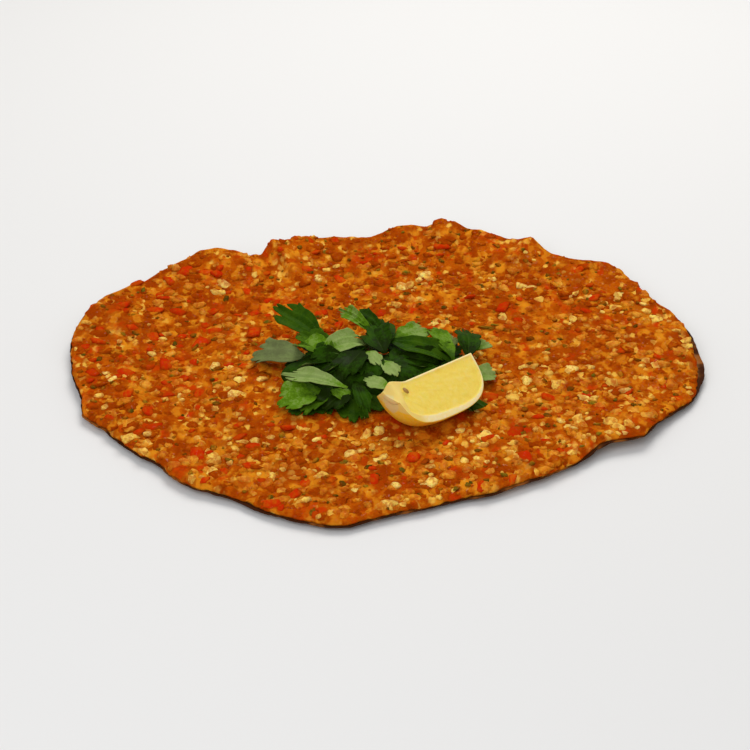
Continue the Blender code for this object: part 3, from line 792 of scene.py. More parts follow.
def mince_finish():
    """Oily cooked mince: an orange mass with browned lumps, golden fat and specks in it. Each
    cell of a bent cell pattern is one lump, and its colour fades out at its edge. Between the
    domes it is darkened with painted shade."""
    topping = settings().topping
    wires, mottle, normal = start_finish("spiced mince", 1.5 * MM, 0.55 * MM, 0.5 * MM)
    smeared = wires.smeared()
    drift = wires.add("ShaderNodeVectorMath", {0: wires.noise(smeared, 2.2 * MM, output="Color"),
                                               1: (2.6 * MM,) * 3}, operation="MULTIPLY")
    bent = wires.add("ShaderNodeVectorMath", {0: smeared, 1: drift}, operation="ADD")
    base = wires.blend(mottle, mixed(topping.orange, topping.brown, 0.25),
                       mixed(topping.orange, topping.gold, 0.22))
    for size, low, high, shown in (
            (9.5 * MM, 0.00, 0.42, topping.brown), (6.5 * MM, 0.64, 1.0, topping.gold),
            (3.8 * MM, 0.00, 0.20, mixed(topping.brown, BLACK, 0.12)),
            (3.2 * MM, 0.84, 1.0, mixed(topping.gold, topping.onion, 0.5)),
            (5.0 * MM, 0.44, 0.50, mixed(topping.pepper, topping.orange, 0.4))):
        base = lump_colour(wires, bent, size, low, high, base, shown)
    base = sauced(wires, base, base, 0.0, 0.6)
    # Painted shade: darker brown between the domes, where shade falls in the crevices.
    painted_crevice_shade = wires.spread(wires.kept("dome"), 0.0, 0.55, 0.15, 0.0)
    base = wires.blend(painted_crevice_shade, base, mixed(topping.brown, BLACK, 0.35))
    oil = wires.spread(wires.noise(wires.where(), 1.2 * MM, 1.0), 0.64, 0.74, 0.0, 0.35)
    return end_finish(wires, base, mottle, (0.5, 0.7), normal, Specular_IOR_Level=0.0,
                      Coat_Weight=oil, Coat_Roughness=0.2, **SOFT)


def lump_colour(wires, bent, size, low, high, base, shown):
    """The base with those cells coloured whose random number lies between low and high."""
    number = wires.add("ShaderNodeSeparateColor", {"Color": wires.spots(bent, size, "Color")})
    chosen = wires.math("MULTIPLY", wires.spread(number, low - 0.02, low, 0, 1),
                        wires.spread(number, high, high + 0.02, 1, 0))
    inside = wires.spread(wires.spots(bent, size), 0.25, 0.75, 1, 0)
    return wires.blend(wires.math("MULTIPLY", chosen, inside), base, shown)


# Operators, one for each piece or group of like pieces.


class Building:
    """What the operators share: each builds its pieces and is finished."""

    def execute(self, context):
        self.build()
        return {"FINISHED"}


class BuildBread(Building, bpy.types.Operator):
    """The sheet of dough, with its curled and charred rim"""

    bl_idname = "lahmacun.bread"
    bl_label = "Bread"

    def build(self):
        """A profile carried round the outline: out over the top, round the thin edge with
        r = R - e + e cos(a), z = middle + e sin(a), and back under the dough to the middle."""
        turn = np.linspace(0, 2 * np.pi, RIM_POINTS, endpoint=False)
        rim_x, rim_y = on_rim(turn)
        torn = 0.6 * waves(rim_x, rim_y, 4.3 * MM, 21) + 0.4 * waves(rim_x, rim_y, 1.7 * MM, 22)
        reach = rim_at(turn, REACH) - settings().bread.ragged * (0.55 + 0.45 * torn)
        half = 0.42 * DOUGH_THICK / 2 * (1 + 0.25 * waves(rim_x, rim_y, 6 * MM, 23))
        over = 1 - (1 - np.linspace(0.012, 1, 42)) ** 1.7
        bow = np.radians([60, 30, 0, -30, -60])
        radius = over[:, None] * (reach - half)
        x, y = radius * np.cos(turn), radius * np.sin(turn)
        top = dough_top(x, y)
        thin = 1 - ease(over, 0.93, 1.0)[:, None] * (1 - 2 * half / DOUGH_THICK)
        low = np.maximum(top - DOUGH_THICK * thin, 0)
        low = low * ease(over, 0.55, 0.7)[:, None]
        middle = (top[-1] + low[-1]) / 2
        edge_r = reach - half + half * np.cos(bow)[:, None]
        edge_z = middle + (top[-1] - low[-1]) / 2 * np.sin(bow)[:, None]
        edge = np.stack([edge_r * np.cos(turn), edge_r * np.sin(turn), edge_z], -1)
        upper, lower = np.stack([x, y, top], -1), np.stack([x, y, low], -1)[::-1]
        points, faces = closed_rings(np.concatenate([upper, edge, lower]),
                                     [[0, 0, DOUGH_THICK], [0, 0, 0]], reverse=True)
        near_edge = np.concatenate([ease(over, 0.955, 0.995), np.ones(len(bow)),
                                    ease(over, 0.90, 0.995)[::-1] * 0.8])
        below = np.concatenate([np.zeros(len(over) + 3), np.ones(len(over) + 2)])
        edge, under = (np.append(np.repeat(v, RIM_POINTS), [0, v[-1]])
                       for v in (near_edge, below))
        add_piece("bread", points, faces, [dough_finish()], "dough", ["flatbread"],
                  edge=edge, under=under)


class BuildMince(Building, bpy.types.Operator):
    """The layer of mince, with its lumps"""

    bl_idname = "lahmacun.mince"
    bl_label = "Mince"

    def build(self):
        """The disc grid stretched to the edge of the spread, and a plain underside whose rings
        shrink from its border to the middle."""
        x, y = disc_grid(MINCE_POINTS)
        turn = np.arctan2(y, x)
        rim_x, rim_y = on_rim(turn)
        bare = MARGIN + 0.5 * MM * waves(rim_x, rim_y, 9 * MM, 31)
        bare = bare + 0.5 * MM * waves(rim_x, rim_y, 3 * MM, 32) + rim_at(turn, BARE)
        reach = rim_at(turn, REACH) - bare
        x, y = (x * reach).ravel(), (y * reach).ravel()
        top = np.stack([x, y, mince_top(x, y)], -1)
        border = border_of(MINCE_POINTS)
        shares = np.array([1.0, 0.94, 0.85, 0.75, 0.62, 0.3])
        low_x, low_y = shares[:, None] * x[border], shares[:, None] * y[border]
        low = np.stack([low_x, low_y, dough_top(low_x, low_y) + 0.5 * GAP], -1)
        points = np.concatenate([top, low.reshape(-1, 3), [[0, 0, DOUGH_THICK + 0.5 * GAP]]])
        start, ring = len(top), len(border)
        rings = start + np.arange(len(shares) * ring).reshape(-1, ring)
        index = np.concatenate([border[None], rings])[:, ::-1]
        skirt = np.stack([index[:-1], index[1:], np.roll(index[1:], -1, 1),
                          np.roll(index[:-1], -1, 1)], -1).reshape(-1, 4)
        faces = [quads_of(MINCE_POINTS, MINCE_POINTS), skirt,
                 fan_of(len(points) - 1, index[-1])]
        add_piece("mince", points, faces, [mince_finish()], "mince", ["meat_spread"],
                  dome=mince_domes(points[:, 0], points[:, 1]))


class BuildCrumbs(Building, bpy.types.Operator):
    """Browned crumbs of mince, large and small"""

    bl_idname = "lahmacun.crumbs"
    bl_label = "Crumbs"

    def build(self):
        topping = settings().topping
        browned = bit_finish(
            "browned mince",
            [(0.10, mixed(topping.brown, BLACK, 0.15)),
             (0.95, mixed(topping.orange, topping.brown, 0.35)), (0.5, topping.brown)],
            (0.5, 0.7), stain=0.55, patches=0.6, Specular_IOR_Level=0.0, **SOFT)
        stained = bit_finish(
            "stained crumbs",
            [(0.1, mixed(topping.brown, topping.orange, 0.3)),
             (0.95, mixed(topping.orange, topping.gold, 0.8)), (0.5, topping.orange)], (0.5, 0.7),
            stain=0.4, patches=0.6, Specular_IOR_Level=0.0, **SOFT)
        strew("mince_crumbs", browned, "mince", 101, 7.0, (2.2, 1.9, 1.1), (5.8, 4.8, 1.9),
              round_lump(10, 5), 3.2, cover=0.5, clumping=0.9, clump_size=17, unevenness=0.32,
              ragged=0.16, boxy=0.3, sink=0.82, tilt=0.25, lean=(-0.10, 0.12))
        strew("mince_grains", stained, "mince", 102, 8.0, (0.7, 0.6, 0.5), (2.2, 1.5, 0.9),
              round_lump(6, 3), 2.2, ragged=0.16, sink=0.66, in_garnish=0.6)


class BuildGoldenBits(Building, bpy.types.Operator):
    """Softened onion and fat that the oil has stained gold"""

    bl_idname = "lahmacun.golden_bits"
    bl_label = "Golden bits"

    def build(self):
        topping = settings().topping
        golden = bit_finish(
            "golden onion",
            [(0.1, mixed(topping.orange, topping.gold, 0.5)),
             (0.95, mixed(topping.gold, topping.onion, 0.4)), (0.5, topping.gold)], (0.4, 0.6),
            stain=0.75, Specular_IOR_Level=0.02, **SOFT)
        strew("golden_bits", golden, "mince", 103, 7.6, (1.8, 1.5, 1.0), (5.0, 3.8, 1.7),
              round_lump(9, 4), 3.0, cover=0.45, clumping=1.1, clump_size=13, unevenness=0.32,
              ragged=0.18, boxy=0.5, sink=0.76, tilt=0.3, lean=(0.06, -0.32))


class BuildOnion(Building, bpy.types.Operator):
    """Pale onion dice"""

    bl_idname = "lahmacun.onion"
    bl_label = "Onion"

    def build(self):
        topping = settings().topping
        pale = bit_finish(
            "pale onion",
            [(0.1, mixed(topping.gold, topping.onion, 0.5)),
             (0.9, mixed(topping.onion, (1, 0.86, 0.34), 0.5)), (0.55, topping.onion)],
            (0.35, 0.55), stain=0.65, Specular_IOR_Level=0.02, Subsurface_Weight=0.15,
            Subsurface_Scale=0.001)
        strew("onion_bits", pale, "mince", 104, 7.0, (1.3, 1.1, 0.8), (4.8, 3.4, 1.7),
              round_lump(9, 5), 3.0, cover=-0.04, clumping=1.1, clump_size=10, ragged=0.12,
              boxy=0.6, sink=0.70, in_garnish=0.15, lean=(0.08, -0.26))


class BuildPepper(Building, bpy.types.Operator):
    """Red pepper and tomato dice"""

    bl_idname = "lahmacun.pepper"
    bl_label = "Red pepper"

    def build(self):
        topping = settings().topping
        red = bit_finish(
            "red pepper",
            [(0.1, mixed(topping.pepper, topping.brown, 0.4)),
             (0.95, mixed(topping.pepper, (0.75, 0.13, 0.004), 0.3)), (0.5, topping.pepper)],
            (0.35, 0.5), stain=0.5, patches=0.15, glints=0.2, Specular_IOR_Level=0.0)
        strew("pepper_bits", red, "mince", 105, 16.5, (1.8, 1.5, 0.8), (6.2, 3.8, 1.5),
              round_lump(8, 4), 3.0, cover=0.65, clumping=0.9, clump_size=34, boxy=0.6,
              sink=0.62, in_garnish=0.2, lean=(-0.30, -0.20))


class BuildHerbs(Building, bpy.types.Operator):
    """Flecks of chopped parsley in the mince"""

    bl_idname = "lahmacun.herbs"
    bl_label = "Herb flecks"

    def build(self):
        topping = settings().topping
        dark = bit_finish(
            "herb flecks",
            [(0.1, mixed(BLACK, topping.herb, 0.6)), (0.95, (0.26, 0.19, 0.012)),
             (0.55, topping.herb)], (0.5, 0.7), mottling=0.3, stain=0.5, glints=0.2,
            Specular_IOR_Level=0.0)
        strew("herb_flecks", dark, "leaf", 106, 10.4, (0.8, 0.7, 0.45), (3.0, 1.8, 0.9),
              round_lump(7, 3), 3.5, clumping=0.6, unevenness=0.4, ragged=0.25, sink=0.42,
              in_garnish=0.3)


def leaf_finish(name, stops, sheen):
    """A leaf's side: its own tone and a mottle choose the green, past 1 it turns to a painted grey
    sheen of light, and the ribs are faintly paler."""
    wires, mottle, normal = start_finish(name, 5 * MM, 0.9 * MM, 0.12 * MM)
    ribs = wires.spread(wires.kept("rib"), 0.0, 0.05, 0.08, 0.0)
    tone = wires.math("ADD", wires.kept("tone"), wires.spread(mottle, 0, 1, -0.10, 0.10))
    # Past tone 1 the green blends to the painted sheen: reflected light painted into the leaf's
    # colour.
    green = wires.blend(wires.spread(tone, 1.0, 2.0), wires.ramp(tone, stops),
                        settings().parsley.painted_sheen)
    shown = wires.blend(ribs, green, settings().parsley.stalk)
    wax = wires.spread(wires.noise(wires.where(), 8 * MM), 0.50, 0.66, 0.0, sheen)
    return end_finish(wires, shown, mottle, (0.45, 0.6), normal, Specular_IOR_Level=0.02,
                      Coat_Weight=wax, Coat_Roughness=0.35)


def clear_of_lemon(x, y, z):
    """The points, eased back to the parsley's side of the wedge where they would enter it."""
    along, across = in_lemon_frame(x, y)
    below = np.clip(LEMON_CORE[2] - z, 0, LEMON_RADIUS)
    on_face = below * math.tan(LEMON_HALF_WEDGE)
    on_rind = np.sqrt(np.clip(LEMON_RADIUS ** 2 - below ** 2, 0, None))
    by_face = below < LEMON_RADIUS * math.cos(LEMON_HALF_WEDGE)
    side = np.where(by_face, on_face, on_rind) + LEAF_ASIDE
    over = np.abs(along) < LEMON_HALF_LENGTH + 2 * MM
    close = over & (np.abs(across) < side + 2 * MM)
    moved = np.where(close, side + np.clip(across - side, 0, None) * 0.5, across)
    return from_lemon_frame(along, moved)


def turn_by(bearing, pitch, roll):
    """The turn that rolls, then raises, then swings a leaf that lies along +X."""
    return turned(*np.radians([bearing, -pitch, roll]))


def leaflet(draw, index, broad):
    """One leaflet along +X, 1 long. Its half width grows from its stalk to a wedge, its end is
    rounded and cut by two narrow notches into three lobes that flare, and by small nicks between
    round teeth, (1 - |sin|)^2. It is folded along its rib, arched between its lobes, waved and
    twisted. The fourth column is the distance from the ribs."""
    across, out = np.meshgrid(np.linspace(-1, 1, LEAFLET_GRID[0]),
                              np.linspace(0, 1, LEAFLET_GRID[1]), indexing="ij")
    side = np.abs(across)
    place = draw.uniform(0.36, 0.50)
    notch = np.exp(-(((side - place) / 0.08) ** 2))
    cuts = 1 - np.abs(np.sin(np.pi * (across * draw.uniform(2.4, 3.4) + draw.uniform(0, 1))))
    reach = 1 - 0.30 * side ** 1.8 - 0.06 * draw.uniform(-1, 1) * across
    reach = reach * (1 - draw.uniform(0.10, 0.22) * notch)
    reach = reach * (1 - settings().parsley.teeth * cuts ** 2)
    nicks = 1 - np.abs(np.sin(np.pi * (out * draw.uniform(2.2, 3.2) + draw.uniform(0, 1))))
    width = broad * (0.20 + 0.80 * ease(out, 0.0, 0.48))
    width = width * (1 - 0.16 * nicks ** 2 * side ** 5 * ease(out, 0.2, 0.5))
    along, off = out * reach, across * width
    flare = 0.10 * np.sign(across) * np.clip(side - place, 0, 1) * out ** 2
    bow = draw.uniform(-0.10, 0.10) * along ** 2
    fold = draw.uniform(0.10, 0.34) * np.abs(off)
    lobes = 0.009 * np.cos(3 * np.pi * across) * out
    curl = draw.uniform(-0.05, 0.12) * side ** 2 * out ** 2
    wave = 0.030 * np.sin(7 * along + 4 * off + index) * out
    twist = draw.uniform(-0.45, 0.45) * along * off
    vein = np.minimum(side, np.abs(side - 0.62 * ease(out, 0.1, 0.8)) + 0.03) * 0.5
    return np.stack([along, off + flare + bow, fold - lobes + curl + wave + twist, vein], -1)


def at_rest(points, index):
    """The points, clear of the lemon and eased to lie over the mince, each leaf a little over
    the one before."""
    x, y = clear_of_lemon(points[..., 0], points[..., 1], points[..., 2])
    floor = mince_top(x, y) + LEAF_REST + LEAF_STEP * index
    above = points[..., 2] - floor
    return np.stack([x, y, floor + (above + np.hypot(above, LEAF_EASE)) / 2], -1)


def leaf_points(index, leaf, draw):
    """The three leaflets of a leaf as one array of points, with their distances from the ribs.
    They fan out at the stalk's end, the side ones a little shorter, and the leaf droops with
    the square of the distance."""
    px, py, pz, bearing, pitch, roll, span, droop = leaf
    rows = []
    for rib in LEAFLET_RIBS:
        size = 1.0 if rib == 0 else draw.uniform(0.78, 0.92)
        made = leaflet(draw, index, draw.uniform(0.28, 0.42))
        lean = turn_by(math.degrees(rib) + draw.uniform(-9, 9), draw.uniform(-6, 8),
                       draw.uniform(-14, 14))
        stalk = np.array([0.06 * math.cos(rib), 0.06 * math.sin(rib), 0])
        placed = made[..., :3] * size @ lean.T + stalk
        placed[..., 2] -= droop * (placed[..., 0] ** 2 + placed[..., 1] ** 2)
        rows.append(np.concatenate([placed, made[..., 3:]], -1))
    local = np.stack(rows)
    placed = (local[..., :3] * UNDER_LEAF_SIZE * span * MM) @ turn_by(bearing, pitch, roll).T
    placed = placed + np.array([px, py, pz - UNDER_LEAF_SINK]) * MM
    return at_rest(placed, index), local[..., 3]


def leaflet_points(index, row, draw):
    """One leaflet from its stalk's end to its tip, arched up between them."""
    start, tip, (width, roll) = np.array(row[:3]), np.array(row[3:6]), row[6:8]
    reach = tip - start
    span = float(np.linalg.norm(reach))
    bearing = math.degrees(math.atan2(reach[1], reach[0]))
    pitch = math.degrees(math.asin(reach[2] / span))
    made = leaflet(draw, index, 0.5 * width / span)
    shape = made[..., :3].copy()
    shape[..., 2] += draw.uniform(0.12, 0.38) * shape[..., 0] * (1 - shape[..., 0])
    placed = (shape * span) @ turn_by(bearing, pitch, roll).T + start
    return at_rest(placed * MM, len(LEAVES) + index), made[..., 3]


def tube(path, thick, sides=7):
    """A round profile carried along a path of points, its radius given at each point, with a
    pole at each end."""
    ahead = np.gradient(path, axis=0)
    ahead = ahead / np.linalg.norm(ahead, axis=1, keepdims=True)
    first = np.cross(ahead, [0.3, 0.2, 1.0])
    first = first / np.linalg.norm(first, axis=1, keepdims=True)
    second = np.cross(ahead, first)
    turn = 2 * np.pi * np.arange(sides) / sides
    ring = first[:, None] * np.cos(turn)[:, None] + second[:, None] * np.sin(turn)[:, None]
    return closed_rings(path[:, None] + ring * thick[:, None, None], [path[0], path[-1]])


class BuildParsley(Building, bpy.types.Operator):
    """The heap of parsley: a low core of crushed leaf, and the leaves and stalks on it"""

    bl_idname = "lahmacun.parsley"
    bl_label = "Parsley"

    def build(self):
        parsley = settings().parsley
        draw = np.random.default_rng(61)
        points, ribs, tones = [], [], []
        for index, leaf in enumerate(LEAVES):
            placed, rib = leaf_points(index, leaf, draw)
            points.append(placed)
            ribs.append(rib)
            tones.append(np.full(rib.shape, draw.uniform(0.05, 0.34)))
        for index, row in enumerate(LEAFLETS):
            placed, rib = leaflet_points(index, row, draw)
            points.append(placed[None])
            ribs.append(rib[None])
            out = np.linspace(0, 1, rib.shape[1])
            tones.append(row[8] - 0.24 * (1 - ease(out, 0.0, 0.6)) + 0 * rib[None])
        points, ribs, tones = (np.concatenate(kind) for kind in (points, ribs, tones))
        count, rows, columns = points.shape[:3]
        shift = (np.arange(count) * rows * columns)[:, None, None]
        faces = (quads_of(rows, columns)[None] + shift).reshape(-1, 4)
        # The stop at 0.02, nearly black, is painted shade for leaves deep in the heap; the dark
        # stop at 0.22 is partly the leaves' own deep green and partly painted shade.
        dark = mixed(parsley.upper, (0, 0.03, 0), 0.55)
        greens_and_painted_shade = [(0.02, mixed(parsley.upper, BLACK, 0.8)), (0.98, parsley.under),
                  (0.22, dark), (0.48, parsley.upper), (0.68, parsley.bright),
                  (0.82, mixed(parsley.bright, parsley.under, 0.6))]
        upper = leaf_finish("parsley upper side", greens_and_painted_shade, 0.05)
        pale = [(0.0, mixed(parsley.upper, parsley.under, 0.4)), (1.0, parsley.under)]
        under = leaf_finish("parsley underside", pale, 0.05)
        made = add_piece("parsley_leaves", points.reshape(-1, 3), [faces], [upper, under], "leaf",
                         ["parsley"], rib=ribs, tone=tones)
        shell = made.modifiers.new("thickness", "SOLIDIFY")
        shell.thickness = parsley.thickness
        shell.offset = -1.0
        shell.material_offset = 1
        self.stalks(draw)
        self.core(greens_and_painted_shade)

    def stalks(self, draw):
        """Thin stalks that run from the heap's core to the end of each leaf, on curves
        (1 - s)^2 A + 2 s (1 - s) B + s^2 C."""
        pieces, faces, first = [], [], 0
        s = np.linspace(0, 1, 12)[:, None]
        starts = [(*leaf[:2], leaf[2] - UNDER_LEAF_SINK) for leaf in LEAVES]
        for place in starts:
            end = np.array(place, float) * MM
            root = np.array([CORE_PLACE[0], CORE_PLACE[1], STALK_ROOT])
            root = root + 0.45 * (end - root) + draw.uniform(-3, 3, 3) * MM
            root[2] = STALK_ROOT
            bend = (root + end) / 2 + np.array([0, 0, draw.uniform(1, 4) * MM])
            path = (1 - s) ** 2 * root + 2 * s * (1 - s) * bend + s * s * end
            made, sides = tube(path, np.linspace(0.7, 0.4, len(path)) * MM)
            pieces.append(made)
            faces += [f + first for f in sides]
            first += len(made)
        points = np.concatenate(pieces)
        stalk = settings().parsley.stalk
        pale = mixed(stalk, (1, 1, 0.6), 0.2)
        finish = leaf_finish("parsley stalk", [(0.0, stalk), (1.0, pale)], 0.1)
        add_piece("parsley_stalks", points, faces, [finish], "leaf",
                  rib=np.ones(len(points)), tone=np.full(len(points), 0.5))

    def core(self, greens_and_painted_shade):
        """A half ball flattened to the heap's core, crumpled by cells and waves, and given the
        ramp's darkest greens as painted shade inside the heap.
        """
        ball, faces = round_lump(72, 30)
        x = CORE_PLACE[0] + CORE_RADII[0] * ball[:, 0]
        y = CORE_PLACE[1] + CORE_RADII[1] * ball[:, 1]
        _, gap, value = cells(x, y, 7 * MM, 71)
        crumple = 1 + 0.3 * waves(x, y, 6 * MM, 72) - 0.5 * np.clip(0.3 - gap, 0, 1)
        z = CORE_BASE + 4 * MM + CORE_RADII[2] * ball[:, 2] * crumple
        z = np.maximum(z, CORE_BASE)
        # Tones of 0 to 0.2 pick the darkest greens: crushed leaf darkened with painted shade.
        add_piece("parsley_core", np.stack([x, y, z], -1), faces,
                  [leaf_finish("crushed parsley", greens_and_painted_shade, 0.0)], "leaf",
                  rib=np.ones(len(x)), tone=0.2 * value)


def lemon_finish():
    """The wedge: zest on the rind, a pale band of pith, and juicy flesh in fine streaks."""
    lemon = settings().lemon
    wires, mottle, normal = start_finish("lemon", 2.2 * MM, 0.9 * MM, 0.12 * MM)
    wobble = wires.spread(wires.noise(wires.where(), 2.5 * MM), 0, 1, -0.35, 0.35)
    depth = wires.math("ADD", wires.kept("flesh_depth"), wobble)
    juice = wires.ramp(wires.math("ADD", wires.math("MULTIPLY", wires.kept("streak"), 0.6),
                                  wires.math("MULTIPLY", mottle, 0.4)),
                       [(0.2, mixed(lemon.flesh, (0.80, 0.50, 0.03), 0.22)),
                        (0.9, mixed(lemon.flesh, lemon.pith, 0.22)), (0.5, lemon.flesh)])
    pith = wires.blend(wires.spread(mottle, 0.3, 0.8), lemon.pith,
                       mixed(lemon.pith, lemon.flesh, 0.35))
    pith = wires.blend(wires.kept("stem"), pith, mixed(lemon.flesh, (0.72, 0.54, 0.24), 0.45))
    base = wires.blend(wires.spread(depth, -0.5, 0.7), pith, juice)
    zest = wires.blend(wires.spread(mottle, 0.2, 0.8), lemon.zest,
                       mixed(lemon.zest, lemon.pith, 0.12))
    base = wires.blend(wires.spread(wires.kept("zest"), 0.25, 0.75), base, zest)
    base = wires.blend(wires.spread(wires.kept("scar"), 0.1, 0.9), base, lemon.scar)
    return end_finish(wires, base, mottle, (0.3, 0.5), normal, Specular_IOR_Level=0.2,
                      Subsurface_Weight=0.2, Subsurface_Scale=0.002)


class BuildLemon(Building, bpy.types.Operator):
    """The lemon wedge, rind down"""

    bl_idname = "lahmacun.lemon"
    bl_label = "Lemon wedge"

    def build(self):
        """Stations along the core line, each with a closed section: down one cut face from the
        core line to the rind, round the rind's arc, and back up the other cut face."""
        lemon = settings().lemon
        left = -LEMON_HALF_LENGTH - LEMON_NUB[1]
        share = (1 - np.cos(np.pi * np.linspace(0, 1, 150)[1:-1])) / 2
        along = left + (LEMON_HALF_LENGTH - left) * share
        radius = lemon_reach(along)
        inward = np.linspace(0.02, 1, 44)
        arc = np.linspace(-1, 1, 66)[1:-1]
        face, rind = np.ones_like(inward), np.ones_like(arc)
        angle = np.concatenate([-face, arc, face]) * LEMON_HALF_WEDGE
        out = np.concatenate([inward, rind, inward[::-1]])
        on_face = np.concatenate([face, 0 * rind, face])
        r = radius[:, None] * out
        a = along[:, None] + 0 * r
        band = lemon.pith_thick * np.interp(a, [-0.6 * LEMON_HALF_LENGTH, 0, LEMON_HALF_LENGTH],
                                            [1.25, 1.0, 0.45])
        depth = np.minimum(radius[:, None] * (1 - out) - band,
                           (a + 17.5 * MM + 0.6 * np.minimum(r, 9 * MM)) * 0.8)
        depth = np.minimum(depth, (LEMON_HALF_LENGTH - a - 0.8 * MM) * 0.9)
        depth = np.minimum(depth, r - 0.7 * MM)
        by_core = 1 - ease(r, 0, 10 * MM)
        lean = 4.2 * MM * ease(-a, 15 * MM, 23 * MM) * by_core
        drop = 4.5 * MM * ease(-a, 23 * MM, 28.5 * MM) * by_core
        fan = np.arctan2(r, a + 0.6 * LEMON_HALF_LENGTH + 12 * MM)
        streak = 0.5 + 0.5 * waves(fan, np.sign(angle) + 0 * a, 0.035, 81)
        streak = 0.45 * streak + 0.55 * (0.5 + 0.5 * waves(a, r, 1.8 * MM, 82))
        sunk = 0.35 * MM * ease(depth, -0.2 * MM, 0.8 * MM) - 0.25 * MM * (streak - 0.5)
        sunk = np.where(on_face > 0, np.clip(sunk, 0.0, None) * (depth > -0.3 * MM), 0)
        pores = 0.10 * MM * np.clip(waves(a, r * angle, 1.5 * MM, 83), 0, 1) * (1 - on_face)
        dy = (r - pores) * np.sin(angle) - sunk * np.cos(angle) * np.sign(angle) + lean
        dz = -(r - pores) * np.cos(angle) - sunk * np.sin(np.abs(angle)) - drop
        a = a + LEMON_BLUNT * np.clip(-a - 17 * MM, 0, None)
        rings = np.stack([*from_lemon_frame(a, dy), LEMON_CORE[2] + dz], -1)
        points, faces = closed_rings(rings, [rings[0].mean(0), rings[-1].mean(0)])
        skin = 1 - ease(radius[:, None] * (1 - out), 0.1 * MM, 0.5 * MM)
        pale = ease(-a, 21.5 * MM, 24 * MM) * ease(rings[..., 2], 16.5 * MM, 19 * MM)
        skin = np.maximum(1 - on_face, skin) * (1 - pale)
        zest = np.append(skin, [0, 1])
        away = np.linalg.norm((points - SCAR_PLACE) * [1.0, 1.0, 1.1], axis=1)
        scar = 1 - ease(away + 0.6 * MM * waves(points[:, 0], points[:, 2], 2 * MM, 84),
                        4.8 * MM, 6.0 * MM)
        stem = np.append(ease(-a, 14 * MM, 19 * MM), [1, 1])
        add_piece("lemon", points, faces, [lemon_finish()], "lemon", ["lemon_wedge"],
                  flesh_depth=np.append(depth / MM, [-1, -1]), zest=zest, stem=stem,
                  streak=np.append(streak, [0, 0]), scar=scar)
        self.pip()

    def pip(self):
        """A pip half sunk into the near cut face, near the stem's end: a drawn-out ball."""
        ball, faces = round_lump(12, 7)
        c, s = LEMON_AHEAD
        half = LEMON_HALF_WEDGE
        down = np.array([math.sin(half) * s, -math.sin(half) * c, -math.cos(half)])
        core_line = np.array([c, s, 0.0])
        outward = np.cross(down, core_line)
        middle = np.array(LEMON_CORE) - 18.0 * MM * core_line + 4.3 * MM * down
        points = (middle + ball[:, :1] * 1.9 * MM * (0.9 * down + 0.3 * core_line)
                  + ball[:, 1:2] * 1.0 * MM * core_line + ball[:, 2:] * 0.7 * MM * outward)
        lemon = settings().lemon
        finish = bit_finish("lemon pip", [(0.0, mixed(lemon.pip, BLACK, 0.4)),
                                          (1.0, lemon.pip)], (0.4, 0.6), stain=0.0, patches=0.0,
                            glints=0.2)
        add_piece("lemon_pip", points, faces, [finish], "lemon",
                  tone=np.full(len(points), 0.6))


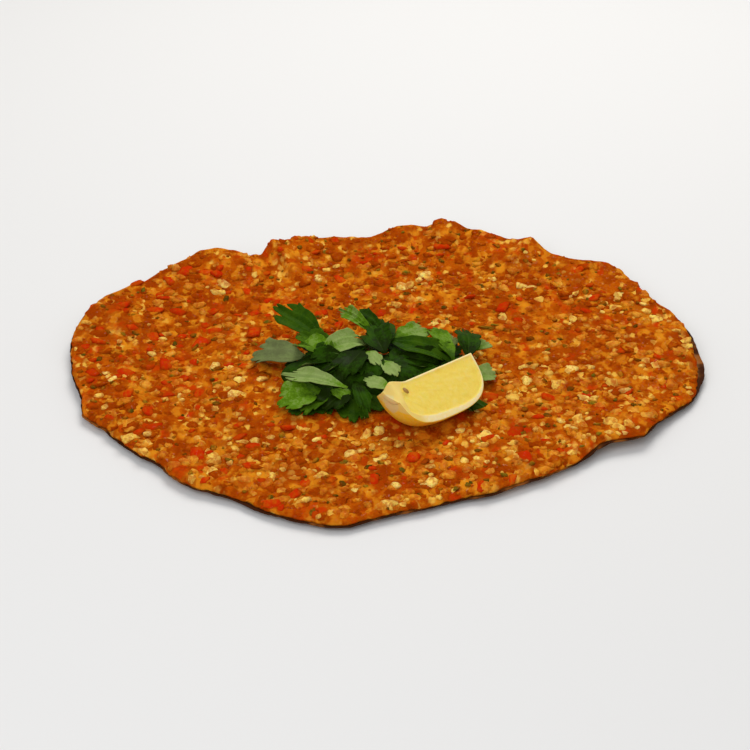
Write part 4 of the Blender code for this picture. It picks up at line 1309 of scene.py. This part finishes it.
class BuildStage(Building, bpy.types.Operator):
    """The pale floor, the soft lights and the camera"""

    bl_idname = "lahmacun.stage"
    bl_label = "Stage"

    def build(self):
        stage = settings().stage
        scene = bpy.context.scene
        r = FLOOR_REACH
        mesh = bpy.data.meshes.new("floor")
        mesh.from_pydata([(-r, -r, 0), (r, -r, 0), (r, r, 0), (-r, r, 0)], [], [(0, 1, 2, 3)])
        floor = bpy.data.objects.new("floor", mesh)
        made = bpy.data.materials.new("pale floor")
        made.use_nodes = True
        wires = Wiring(made.node_tree)
        shader = wires.add("ShaderNodeBsdfPrincipled", {"Base Color": full(stage.floor),
                                                        "Roughness": 0.9})
        wires.add("ShaderNodeOutputMaterial", {"Surface": shader})
        mesh.materials.append(made)
        scene.collection.objects.link(floor)
        self.light("key", (0.15, 0.72, 1.08), 0.9, stage.key, (1.0, 0.97, 0.92))
        self.light("fill", (-0.4, -1.05, 0.9), 1.2, stage.fill, (0.97, 0.98, 1.0))
        world = bpy.data.worlds.new("studio")
        world.use_nodes = True
        background = world.node_tree.nodes["Background"]
        background.inputs["Color"].default_value = (1.0, 1.0, 1.0, 1.0)
        background.inputs["Strength"].default_value = 0.42
        scene.world = world
        scene.view_settings.view_transform = "Standard"
        lens = bpy.data.cameras.new("camera")
        lens.lens = stage.lens
        lens.sensor_width = 36.0
        camera = bpy.data.objects.new("camera", lens)
        camera.location = CAMERA_PLACE
        aim = Vector(CAMERA_AIM) - camera.location
        camera.rotation_euler = aim.to_track_quat("-Z", "Y").to_euler()
        scene.collection.objects.link(camera)
        scene.camera = camera

    def light(self, name, place, size, power, tint):
        lamp = bpy.data.lights.new(name, "AREA")
        lamp.shape = "DISK"
        lamp.size = size
        lamp.energy = power
        lamp.color = tint
        made = bpy.data.objects.new(name, lamp)
        made.location = place
        made.rotation_euler = (-Vector(place)).to_track_quat("-Z", "Y").to_euler()
        bpy.context.scene.collection.objects.link(made)


OPERATORS = (BuildStage, BuildBread, BuildMince, BuildCrumbs, BuildGoldenBits, BuildOnion,
             BuildPepper, BuildHerbs, BuildParsley, BuildLemon)


class LahmacunPanel(bpy.types.Panel):
    """Lists the pieces and their settings"""

    bl_idname = "VIEW3D_PT_lahmacun"
    bl_label = "Lahmacun"
    bl_space_type = "VIEW_3D"
    bl_region_type = "UI"
    bl_category = "Lahmacun"

    def draw(self, context):
        for group in ("bread", "topping", "parsley", "lemon", "stage"):
            box = self.layout.box()
            box.label(text=group.capitalize())
            values = getattr(context.scene.lahmacun, group)
            for key in values.__annotations__:
                box.prop(values, key)
        for operator in OPERATORS:
            self.layout.operator(operator.bl_idname)


CLASSES = (BreadSettings, ToppingSettings, ParsleySettings, LemonSettings, StageSettings,
           LahmacunSettings, *OPERATORS, LahmacunPanel)


def register():
    for kind in CLASSES:
        bpy.utils.register_class(kind)
    bpy.types.Scene.lahmacun = PointerProperty(type=LahmacunSettings)


def unregister():
    del bpy.types.Scene.lahmacun
    for kind in reversed(CLASSES):
        bpy.utils.unregister_class(kind)


def main():
    register()
    for operator in OPERATORS:
        getattr(bpy.ops.lahmacun, operator.bl_idname.split(".")[1])()


if __name__ == "__main__":
    main()
